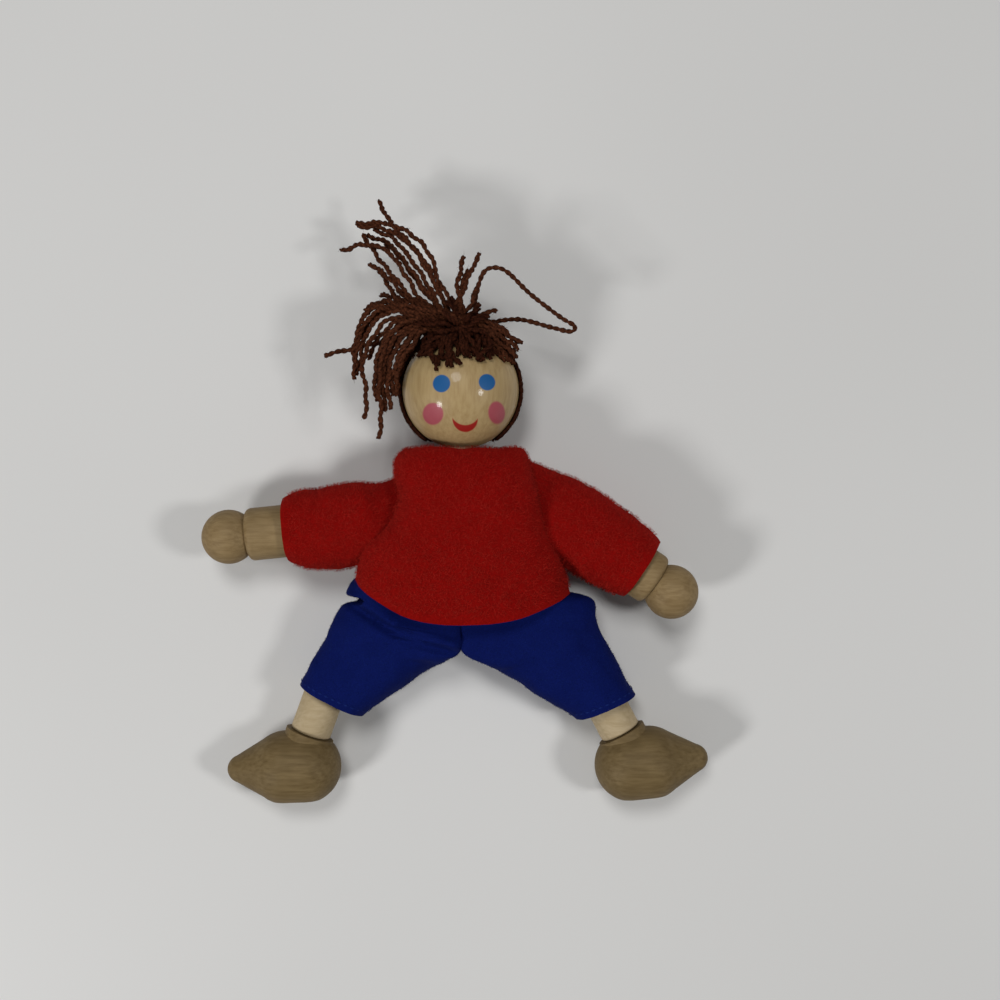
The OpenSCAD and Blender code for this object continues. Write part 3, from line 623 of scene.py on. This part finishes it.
def make_sweater(felt_cloth, fuzz):
    """The felt body, which rides on the torso, and two sleeves whose pieces are baked in place and don't bend
    with the arms.
    """
    rings = crumple(body_rings(BODY_ROWS), BODY_FOLDS, BODY_SEED)
    rings[..., 2] = np.maximum(rings[..., 2], BODY_LOW)
    body = Cloth(rings, np.linspace(0, 1, BODY_ROWS), felt_cloth, FELT_T, fuzz)
    made = body.piece("sweater_front_and_back", 0, 1, ["torso"], nodes=["sweater_body"], rim_first=True,
                      rim_last=True)
    body.declare(0, 1)
    root_at, top_at, arm_at = SLEEVE_CUTS
    for side in SIDES:
        rings, run = sleeve_rings(side)
        rings = crumple(rings, SLEEVE_FOLDS, SLEEVE_SEED[side])
        sleeve = Cloth(rings, run, felt_cloth, FELT_T, fuzz)
        root, upper, lower = side + "_shoulder", side + "_upper_arm", side + "_forearm"
        short = sleeve.piece(side + "_sleeve_root", root_at, top_at, ["torso", root])
        short += sleeve.piece(side + "_sleeve_top", top_at, arm_at, [root, upper])
        arm, fore = limb_way(side, ARM_BELOW[side]), limb_way(side, FOREARM_BELOW[side])
        elbow = SHOULDER[side] + UPPER_ARM * arm
        end = run[-1]
        axis = (elbow - ELBOW_BEND * arm, elbow + ELBOW_BEND * fore)
        long = sleeve.piece(side + "_sleeve_end", arm_at, end, [upper, lower], axis,
                            [side + "_sleeve", side + "_sleeve_cuff"], rim_last=True)
        sleeve.declare(arm_at, end)


# Trousers

COTTON_T = 0.6
COTTON_NAP = (4.0, 0.5, 0.045)  # fibres on a square millimetre, their length and width
LEG_ROWS = 84
LEG_LOW = 0.1
HEM_STITCH_ROW = LEG_ROWS - 4
STITCH_PITCH, STITCH_LONG, STITCH_WIDE, STITCH_RISE, STITCH_LIFT = 1.35, 0.95, 0.34, 0.2, 0.02
LEGS = {
    # inner x and y, outer x and y, lowest and highest point, from the waist to the cuff
    "right": [
        (0.5, -12.0, -13.0, -11.0, 2.6, 19.3),
        (0.5, -19.4, -20.4, -15.2, 1.6, 19.5),
        (0.5, -24.0, -22.6, -19.6, 0.9, 16.2),
        (-0.4, -28.4, -24.3, -22.8, 0.6, 16.2),
        (-6.2, -32.4, -26.4, -26.8, 0.4, 15.2),
        (-12.2, -36.6, -28.5, -31.0, 0.4, 14.6),
        (-18.6, -41.2, -30.5, -35.2, 0.6, 14.0),
    ],
    "left": [
        (-0.1, -12.0, 13.2, -11.0, 2.6, 19.3),
        (-0.1, -19.4, 20.2, -17.0, 1.6, 19.5),
        (-0.1, -24.0, 25.2, -19.0, 0.9, 16.2),
        (0.8, -28.4, 26.0, -22.6, 0.6, 16.2),
        (7.8, -32.6, 27.4, -26.8, 0.4, 15.2),
        (14.4, -37.0, 30.2, -31.6, 0.4, 14.6),
        (22.2, -41.8, 33.4, -37.0, 0.6, 14.0),
    ],
}
# The leg passes from torso to hip, thigh and shin at these rows of the list above.
LEG_CUTS = (1.6, 2.8, 4)
# How square the rings are from waist (0) to cuff (1): upright inside, where the legs are sewn together
INNER_POWER = [0, 0.45, 0.6, 1], [16.0, 16.0, 3.0, 2.4]
OUTER_POWER = [0, 0.2, 0.4, 1], [1.6, 1.6, 2.4, 2.4]
# Soft folds, as depth and width, and the seed of their places
LEG_FOLDS, LEG_SEED = [(0.4, 12.0), (0.14, 4.5)], {"right": 51, "left": 41}
# A pleat runs over the front of the right leg, from a small gap at the hip down to the crotch.
PLEAT = [(-21.5, -18.4), (-17.5, -20.6), (-11.5, -24.2), (-6.0, -26.4), (-1.5, -27.6)]
# Its ridge and its valley: height or depth, place above the line, and half width
PLEAT_RIDGE, PLEAT_VALLEY = (1.5, 0.9, 0.9), (1.3, -0.5, 0.7)
# How far above the leg's middle it has its full height, and how softly it ends
PLEAT_FRONT, PLEAT_END = 4, 2.0
# The gap: its place, how far it pulls the cloth in, its half width and its reach
PLEAT_GAP = (-20.6, -18.7)
GAP_PULL, GAP_HALF, GAP_REACH = 3.0, 0.6, 1.5


def leg_rings(side, count):
    """Rings from the waist to the cuff."""
    run = np.linspace(0, 1, count)
    inner, outer = np.interp(run, *INNER_POWER), np.interp(run, *OUTER_POWER)
    rows = zip(inner, outer, spline(LEGS[side], count))
    return np.array([oval_between((ix, iy), (ox, oy), low, high, out_power, in_power)
                     for in_power, out_power, (ix, iy, ox, oy, low, high) in rows])


def pleated(rings):
    """Raises a soft fold along the pleat's line and pulls the cloth in at its gap."""
    line = spline(PLEAT, 40)
    rings = rings.copy()
    flat = rings.reshape(-1, 3)
    apart = flat[:, None, :2] - line[None]
    near = np.argmin((apart ** 2).sum(axis=2), axis=1)
    way = np.gradient(line, axis=0)[near]
    way /= np.linalg.norm(way, axis=1)[:, None]
    gap = flat[:, :2] - line[near]
    above = gap[:, 1] * way[:, 0] - gap[:, 0] * way[:, 1]
    front = np.clip((rings[..., 2] - rings[..., 2].mean(axis=1, keepdims=True)) / PLEAT_FRONT, 0, 1)
    ridge, valley = (height * np.exp(-((above - at) / half) ** 2)
                     for height, at, half in (PLEAT_RIDGE, PLEAT_VALLEY))
    on_line = np.exp(-((gap ** 2).sum(axis=1) - above ** 2) / PLEAT_END)
    flat[:, 2] += (ridge - valley) * front.ravel() * on_line
    gap_x, gap_y = PLEAT_GAP
    far = (flat[:, 0] - gap_x - GAP_REACH) / GAP_REACH
    flat[:, 0] += GAP_PULL * np.exp(-((flat[:, 1] - gap_y) / GAP_HALF) ** 2) / (1 + np.exp(3 * far))
    return flat.reshape(rings.shape)


def stitches(name, cloth, at, material):
    """Small hem stitches that lie on the cloth along one of its rings."""
    ring, normal = cloth.rings[at], cloth.normals[at]
    line = np.vstack([ring, ring[:1]])
    run = np.concatenate([[0], np.cumsum(np.linalg.norm(np.diff(line, axis=0), axis=1))])
    points, faces = [], []
    for start in np.arange(0, run[-1] - STITCH_LONG, STITCH_PITCH):
        ends = start + STITCH_LONG * np.array([0, 0.5, 1])
        a, b, c = np.stack([np.interp(ends, run, line[:, k]) for k in range(3)], axis=1)
        up = normal[int(np.argmin(np.linalg.norm(ring - b, axis=1)))]
        side = np.cross(up, (c - a) / np.linalg.norm(c - a)) * STITCH_WIDE / 2
        lift, rise = STITCH_LIFT * up, STITCH_RISE * up
        first = len(points)
        points += [a + lift, b + side + rise, b - side + rise, c + lift]
        faces += [(first, first + 1, first + 2), (first + 1, first + 3, first + 2)]
    return mesh_object(name, points, faces, material)


def make_trousers(cotton_cloth, thread, nap):
    """Two legs of one cotton garment, split at hips and knees but baked in place there without bending, with
    stitched hems.
    """
    waist, seat, thigh_end = LEG_CUTS
    last = len(LEGS["right"]) - 1
    for side in SIDES:
        rings = leg_rings(side, LEG_ROWS)
        if side == "right":
            rings = pleated(rings)
        rings = crumple(rings, LEG_FOLDS, LEG_SEED[side])
        rings[..., 2] = np.maximum(rings[..., 2], LEG_LOW)
        cloth = Cloth(rings, np.linspace(0, last, LEG_ROWS), cotton_cloth, COTTON_T, nap)
        swing, thigh, shin = side + "_hip", side + "_thigh", side + "_shin"
        seat_node = ["trouser_seat"] if side == "right" else []
        others = cloth.piece(side + "_trouser_top", 0, waist, ["torso"], nodes=seat_node)
        others += cloth.piece(side + "_trouser_seat", waist, seat, ["torso", swing])
        others += cloth.piece(side + "_trouser_thigh", seat, thigh_end, [swing, thigh])
        axis = blend_axis(cloth.rings[cloth.between(thigh_end, last)])
        lower = cloth.piece(side + "_trouser_shin", thigh_end, last, [thigh, shin], axis,
                            [side + "_trouser_leg", side + "_trouser_cuff"], rim_last=True)
        hem = stitches(side + "_hem_stitches", cloth, HEM_STITCH_ROW, thread)
        cloth.follow([hem], [thigh, shin], axis)
        cloth.declare(thigh_end, last)


# Hair: two-ply yarn strands on the head.

PLY_SIDES = 6
# Shares of the yarn's thickness: a ply's radius, how far off the middle it lies, where a loose fibre starts
PLY_R, PLY_OFF, FIBRE_OFF = 0.32, 0.18, 0.42
# The length of one turn, the steps along a strand, and how far it strays from its line
TWIST = 2.5
YARN_STEP, LEAST_STEPS = 0.3, 8
WOBBLE, BACK_WOBBLE = 0.14, 0.05
# How thin a cut end is, the length of its taper for each thickness, and how uneven the yarn is
END_SHARE, END_TAPER, UNEVEN = 0.55, 0.6, 0.12
FIBRES_PER_MM = 5
FIBRE_LONG, FIBRE_HALF = (0.25, 0.8), 0.03


def yarn(line, thickness, points, faces, wobble):
    """Adds one twisted strand along a line to a growing mesh, with loose fibres that stand off it."""
    long = length_of(line)
    line = spline(line, max(LEAST_STEPS, int(long / YARN_STEP)))
    across, up = frames_along(line)
    run = np.linspace(0, long, len(line))
    waves = rng.uniform(0, 6, 2)
    line = line + wobble * np.sin(run * 1.3 + waves[0])[:, None] * across
    line = line + wobble * np.sin(run * 1.7 + waves[1])[:, None] * up
    turn = 2 * math.pi * run / TWIST + rng.uniform(0, 6)
    end = np.minimum(1, np.minimum(run, long - run) / (END_TAPER * thickness) + END_SHARE)
    end = end * (1 + UNEVEN * np.sin(run * 2.1 + waves[0]))
    a = 2 * math.pi * np.arange(PLY_SIDES) / PLY_SIDES
    ring = np.cos(a)[None, :, None] * across[:, None] + np.sin(a)[None, :, None] * up[:, None]
    ply_r, offset = thickness * PLY_R, thickness * PLY_OFF
    for ply in (0, math.pi):
        middle = line + offset * (np.cos(turn + ply)[:, None] * across + np.sin(turn + ply)[:, None] * up)
        rings = middle[:, None] + ply_r * end[:, None, None] * ring
        first = len(points)
        points.extend(rings.reshape(-1, 3))
        faces.extend(grid_faces(len(rings), PLY_SIDES, first=first))
        faces.append(tuple(range(first, first + PLY_SIDES)))
        last = first + (len(rings) - 1) * PLY_SIDES
        faces.append(tuple(range(last + PLY_SIDES - 1, last - 1, -1)))
    for k in rng.integers(0, len(line), int(long * FIBRES_PER_MM)):
        a = rng.uniform(0, 2 * math.pi)
        out = math.cos(a) * across[k] + math.sin(a) * up[k]
        way = np.cross(across[k], up[k]) * rng.choice((-1, 1))
        root = line[k] + out * thickness * FIBRE_OFF
        tip = root + rng.uniform(*FIBRE_LONG) * (0.55 * out + 0.75 * way + 0.3 * rng.normal(size=3))
        side = np.cross(out, way) * FIBRE_HALF
        first = len(points)
        points.extend([root - side, root + side, tip])
        faces.append((first, first + 1, first + 2))


# The lowest middle line of a strand
STRAND_LOW = 0.5


def lay_on_head(line, height):
    """Keeps every point of a strand outside the head and above the table."""
    line = np.array(line)
    away = line - HEAD
    far = np.linalg.norm(away, axis=1)
    low = np.maximum(far, HEAD_R + height)
    line = HEAD + away * (low / far)[:, None]
    line[:, 2] = np.maximum(line[:, 2], STRAND_LOW)
    return line


YARN_T = 1.05
BACK_YARN_T = 0.8
# The crown: its place in the picture and its height, and how far the strands' roots spread there
CROWN = (456, 322, 17.5)
ROOT_SPREAD = (1.3, 0.9, 0.9)
# A strand's points, and the share of its way after which it falls
STRAND_POINTS = 24
FALL_AT = 0.4
# How high a bunch's strands start, pass and end
TUFT_Z = (17.5, 17.0, 10.5)
UPRIGHT_Z = (17.5, 18.5, 16.0)
SIDE_Z, SIDE_UNDER_Z = (18.0, 20.0, 16.5), (16.5, 17.0, 13.0)
RIGHT_Z, RIGHT_UNDER_Z = (18.0, 19.5, 17.0), (17.0, 18.0, 14.5)
STRAY_Z = (16.0, 15.0, 13.5)

TUFT = [
    # places in the picture from the crown to the tip
    [(440, 285), (430, 255), (410, 233), (382, 223), (356, 224)],
    [(437, 288), (424, 262), (404, 239), (380, 227), (358, 226)],
    [(431, 290), (413, 263), (393, 239), (371, 229)],
    [(425, 292), (406, 265), (389, 243), (366, 235)],
    [(420, 300), (405, 275), (388, 252), (364, 244), (340, 251)],
    [(434, 282), (412, 246), (392, 224), (377, 201)],
    [(416, 301), (398, 280), (379, 259), (364, 233)],
    [(410, 300), (396, 284), (382, 271), (370, 264)],
    [(407, 307), (395, 299), (388, 285), (377, 270)],
    [(428, 296), (414, 275), (400, 256), (386, 244)],
    [(422, 306), (402, 299), (390, 297), (379, 296)],
]
UPRIGHT = [
    [(457, 290), (461, 270), (463, 256)],
    [(462, 300), (470, 275), (480, 253)],
    [(470, 305), (475, 296), (477, 287)],
    [(472, 318), (485, 314), (497, 311)],
    [(460, 298), (464, 282), (468, 270)],
]
SIDE = [
    [(410, 308), (372, 309), (358, 330), (354, 352), (354, 380)],
    [(410, 311), (378, 311), (362, 330), (357, 352), (357, 377)],
    [(412, 315), (385, 314), (367, 333), (360, 356), (361, 366)],
    [(412, 318), (388, 320), (371, 340), (364, 366), (366, 392), (365, 419)],
    [(414, 320), (392, 324), (376, 342), (368, 360)],
    [(416, 322), (396, 328), (383, 352), (379, 388), (381, 415), (379, 439)],
    [(418, 324), (400, 332), (388, 354), (383, 384), (385, 412)],
    [(420, 326), (404, 336), (392, 358), (388, 388), (391, 410)],
    [(422, 328), (408, 340), (396, 362), (392, 380), (392, 397)],
    [(424, 330), (412, 344), (401, 362), (396, 382), (396, 396)],
    [(414, 313), (388, 309), (368, 322), (361, 340)],
    [(413, 322), (390, 332), (378, 356), (375, 384), (376, 402)],
    [(408, 306), (380, 303), (366, 314)],
    [(420, 332), (405, 346), (398, 368), (397, 388)],
]
RIGHT_BUNCH = [
    [(485, 326), (504, 333), (520, 343)],
    [(486, 330), (504, 339), (519, 350)],
    [(486, 334), (503, 345), (517, 357)],
    [(485, 337), (500, 349), (511, 361)],
    [(482, 339), (494, 350), (503, 362)],
    [(484, 328), (500, 338), (512, 349)],
    [(480, 340), (488, 350), (496, 358)],
    [(484, 322), (498, 327), (508, 334)],
]
# Where the fringe ends on the forehead
FRINGE = [(412, 352), (424, 360), (436, 369), (449, 367), (463, 364), (481, 364), (489, 362), (500, 356)]
STRAY = [(420, 330), (385, 340), (352, 349), (324, 355)]
LOOP = [
    # from the middle of the head
    (2.6, 13, 3), (3, 17.5, 4.4), (4.4, 21.4, 5.6), (6.6, 22.2, 6), (9, 21.2, 6), (13, 17.4, 5.6),
    (18.6, 13.2, 5), (21.2, 11.6, 4.8), (20.6, 10.6, 4.4), (17, 11.4, 4), (11, 13, 3.2), (5.6, 12.8, 1),
]
LOOP_D = 1.0
LOOP_POINTS = 60
BUNCHES = [
    # piece, the node it stands for, and its layers: strands, their heights and how far they spread
    ("hair_tall_tuft", "hair_tuft", [(TUFT, TUFT_Z, 0.15)]),
    ("hair_upright_strands", "hair_upright", [(UPRIGHT, UPRIGHT_Z, 0.1)]),
    ("hair_side_bunch", "hair_side", [(SIDE, SIDE_Z, 0.1), ([p[:4] for p in SIDE[5:]], SIDE_UNDER_Z, 0.4)]),
    ("hair_right_bunch", "hair_right", [(RIGHT_BUNCH, RIGHT_Z, 0.1), (RIGHT_BUNCH, RIGHT_UNDER_Z, 0.5)]),
]
FRINGE_COUNT, CROWN_COUNT, BACK_COUNT, CAP_COUNT = 30, 44, 84, 24


def strand(places, heights, spread=0.0):
    """A strand through places in the picture, rising from the crown and falling to its tip."""
    root = in_picture(*CROWN) + rng.normal(size=3) * ROOT_SPREAD
    root[2] += heights[0] - CROWN[2]
    t = np.linspace(0, 1, len(places) + 1)[1:]
    levels = np.interp(t, [0, FALL_AT, 1], heights)
    line = [in_picture(x, y, z) for (x, y), z in zip(places, levels)]
    line = np.array([root] + line)
    line[1:] += rng.normal(size=(len(places), 3)) * spread
    return lay_on_head(spline(line, STRAND_POINTS), 0.5 * YARN_T)


def hair_mesh(name, strands, material, nodes, thickness=YARN_T, wobble=WOBBLE):
    """One bunch of yarn strands that rides on the head."""
    points, faces = [], []
    for line in strands:
        yarn(np.array(line), thickness, points, faces, wobble)
    points = np.array(points)
    points[:, 2] = np.maximum(points[:, 2], TABLE_GAP)
    obj = mesh_object(name, points, faces, material)
    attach(obj, "head")
    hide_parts(*nodes)
    return obj


# Short ends at the crown: how far they reach
CROWN_REACH = (2.5, 6.5)
# The fringe: how ragged its end is in the picture, and how high its strands rise over the head on the way
FRINGE_RAGGED = (-9, 2)
FRINGE_RISE = (1.0, 2.6)
# The glued back: how far round to both sides, and how far down from the top, in degrees
BACK_ROUND = 95
BACK_DOWN = (137, 146)
# The cap: how far to both sides, and from where in front to where behind the top, in radians
CAP_HALF = 8.0
CAP_FRONT, CAP_BEHIND = (0.6, 0.8), -0.6
# Points of a strand that is glued on
GLUED_POINTS = 10


def crown_strands(count):
    """Short cut ends and loops that fill the glued middle of the hair."""
    lines = []
    for _ in range(count):
        a = rng.uniform(0, 2 * math.pi)
        reach = rng.uniform(*CROWN_REACH)
        root = in_picture(CROWN[0] + rng.normal() * 9, CROWN[1] + 6 + rng.normal() * 5, rng.uniform(16, 20))
        out = np.array([math.cos(a) * reach * 1.3, math.sin(a) * reach * 0.7, rng.uniform(-2.0, 1.5)])
        line = [root, root + 0.5 * out + [0, 0, 1.0], root + out]
        lines.append(lay_on_head(spline(line, 12), 0.5 * YARN_T))
    return lines


def fringe_strands(count):
    """Strands combed from the crown over the forehead, cut to a ragged line."""
    ends = np.array(FRINGE, float)
    lines = []
    for x in np.linspace(ends[0, 0], ends[-1, 0], count):
        y = np.interp(x, ends[:, 0], ends[:, 1]) + rng.uniform(*FRINGE_RAGGED)
        tip = in_picture(x, y, 20.0)
        for _ in range(3):
            away = tip - HEAD
            away[2] = math.sqrt(max(4.0, (HEAD_R + 0.6) ** 2 - away[0] ** 2 - away[1] ** 2))
            tip = in_picture(x, y, (HEAD + away)[2])
        root_x = CROWN[0] + 0.5 * (x - CROWN[0]) + rng.normal() * 11
        root = in_picture(root_x, CROWN[1] + rng.normal() * 4, 17.0)
        middle = 0.5 * (root + tip) + rng.normal(size=3) * (2.0, 0.6, 0)
        middle = HEAD + (middle - HEAD) / np.linalg.norm(middle - HEAD) * (HEAD_R + rng.uniform(*FRINGE_RISE))
        lines.append(lay_on_head(spline([root, middle, tip], 16), rng.uniform(0.5, 1.0)))
    return lines


def back_strands(count):
    """Strands glued from the crown down both sides and the back of the head."""
    lines = []
    top = np.array([0, 1.0, 0])
    for turn in np.linspace(-BACK_ROUND, BACK_ROUND, count):
        a = math.radians(turn)
        side = np.array([math.sin(a), 0.0, -math.cos(a)])
        reach = math.radians(rng.uniform(*BACK_DOWN))
        steps = np.linspace(0.2, reach, GLUED_POINTS)
        line = [HEAD + HEAD_R * (math.cos(t) * top + math.sin(t) * side) for t in steps]
        lines.append(lay_on_head(line, rng.uniform(0.4, 0.5)))
    return lines


def cap_strands(count):
    """Strands combed from the crown over the top of the head, so that no wood shows there."""
    lines = []
    for x in np.linspace(-CAP_HALF, CAP_HALF, count):
        r = math.sqrt(HEAD_R**2 - x**2)
        turns = np.linspace(rng.uniform(*CAP_FRONT), CAP_BEHIND, GLUED_POINTS)
        line = [HEAD + [x, r * math.cos(t), r * math.sin(t)] for t in turns]
        lines.append(lay_on_head(line, rng.uniform(0.5, 0.8)))
    return lines


def make_hair(material, dark):
    """Free bunches in brown yarn, the glued hair under them in the same yarn painted darker as painted shade,
    one loop and one stray strand.
    """
    for name, node, layers in BUNCHES:
        lines = [strand(p, heights, spread) for places, heights, spread in layers for p in places]
        hair_mesh(name, lines, material, [node])
    forehead = fringe_strands(FRINGE_COUNT) + crown_strands(CROWN_COUNT)
    hair_mesh("hair_forehead", forehead, dark, ["hair_fringe"])
    back = back_strands(BACK_COUNT) + cap_strands(CAP_COUNT)
    hair_mesh("hair_glued_back", back, dark, ["hair_back"], BACK_YARN_T, BACK_WOBBLE)
    loop = spline([HEAD + p for p in np.array(LOOP)], LOOP_POINTS)
    looped = hair_mesh("hair_long_loop", [loop], material, ["hair_loop"], LOOP_D, 0.0)
    hair_mesh("hair_stray_strand", [strand(STRAY, STRAY_Z)], material, ["hair_stray"])


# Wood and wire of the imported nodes

# Direction of the grain, in degrees from +X
FOOT_GRAIN = {"right": 182, "left": -6}


def paint_nodes(nodes):
    """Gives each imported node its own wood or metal, with the grain along the piece."""
    steel = metal("soft_wire", *STEEL)
    core = wood("core_wood", *PALE_WOOD, 90)
    nodes["head_ball"].data.materials.clear()
    nodes["head_ball"].data.materials.append(painted_head("painted_head"))
    for name, node in nodes.items():
        if name == "head_ball":
            continue
        side = name.split("_")[0]
        if "wire" in name or "_bend" in name:
            material = steel
        elif "foot" in name:
            # The feet get the wood painted darker, as painted shade.
            material = wood(name + "_wood", *SHADED_FOOT_WOOD, FOOT_GRAIN[side])
        elif "ankle_peg" in name:
            material = wood(name + "_wood", *PALE_WOOD, -SHIN_BELOW[side])
        elif "hand" in name or "bead" in name:
            material = wood(name + "_wood", *BEAD_WOOD, 90 - FOREARM_BELOW[side] * SIDES[side])
        else:
            material = core
        node.data.materials.clear()
        node.data.materials.append(material)
        for polygon in node.data.polygons:
            polygon.use_smooth = True


# Stage

TABLE_HALF = 900
TABLE_DARK, TABLE_LIGHT = (0.71, 0.705, 0.69), (0.76, 0.755, 0.74)
LAMPS = {
    # place and size in metres, power in watts
    "lamp_left": ((-0.40, -0.28, 0.40), 0.12, 1.4),
    "lamp_right": ((0.52, -0.08, 0.61), 0.14, 1.5),
    "lamp_over": ((-0.12, 0.35, 0.85), 0.3, 2.5),
}
ROOM_LIGHT = 0.11


def area_light(name, at, size, power):
    """A round lamp that shines at the doll."""
    data = bpy.data.lights.new(name, "AREA")
    data.shape = "DISK"
    data.size = size
    data.energy = power
    obj = bpy.data.objects.new(name, data)
    bpy.context.collection.objects.link(obj)
    obj.location = at
    obj.rotation_mode = "QUATERNION"
    obj.rotation_quaternion = (-Vector(at)).to_track_quat("-Z", "Y")


def make_stage():
    """A pale table top, lamps over it and the light of the room."""
    s = Shader("table_top")
    cloud = s.noise(s.place(scale=(0.004, 0.004, 0.004)), scale=1.2, detail=2.0)
    base = s.ramp(cloud, [(0.3, TABLE_DARK), (0.7, TABLE_LIGHT)])
    table = s.finish(Base_Color=base, Roughness=0.45, Specular_IOR_Level=0.3)
    corners = TABLE_HALF * np.array([(-1, -1, 0), (1, -1, 0), (1, 1, 0), (-1, 1, 0)])
    floor = mesh_object("table", corners, [(0, 1, 2, 3)], table)
    for name, (at, size, power) in LAMPS.items():
        area_light(name, at, size, power)
    world = bpy.data.worlds.new("room")
    world.use_nodes = True
    sky = world.node_tree.nodes["Background"].inputs
    sky["Color"].default_value = (1.0, 1.0, 1.0, 1)
    sky["Strength"].default_value = ROOM_LIGHT
    bpy.context.scene.world = world


def make_camera():
    """Looks straight down, and shows the picture's width at the picture's level."""
    data = bpy.data.cameras.new("from_above")
    data.sensor_width = SENSOR_WIDTH
    data.lens = SENSOR_WIDTH * (CAMERA_AT[2] - PICTURE_Z) / PICTURE_WIDTH
    data.clip_start, data.clip_end = 0.01, 10.0
    obj = bpy.data.objects.new("from_above", data)
    bpy.context.collection.objects.link(obj)
    obj.location = point(CAMERA_AT)
    bpy.context.scene.camera = obj


def main():
    for obj in list(bpy.data.objects):
        bpy.data.objects.remove(obj)
    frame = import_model()
    paint_nodes(frame["nodes"])
    fuzz = (felt("red_fibre", *RED_FIBRE), *FELT_FUZZ)
    nap = (cotton("blue_fibre", *BLUE_FIBRE), *COTTON_NAP)
    make_sweater(felt("red_felt", *RED_FELT), fuzz)
    make_trousers(cotton("blue_cotton", *BLUE_COTTON), cotton("blue_thread", *BLUE_THREAD), nap)
    make_hair(yarn_material("brown_yarn", *BROWN_YARN), yarn_material("shaded_yarn", *SHADED_YARN))
    make_stage()
    make_camera()
    bpy.context.scene.view_settings.view_transform = "Standard"


main()
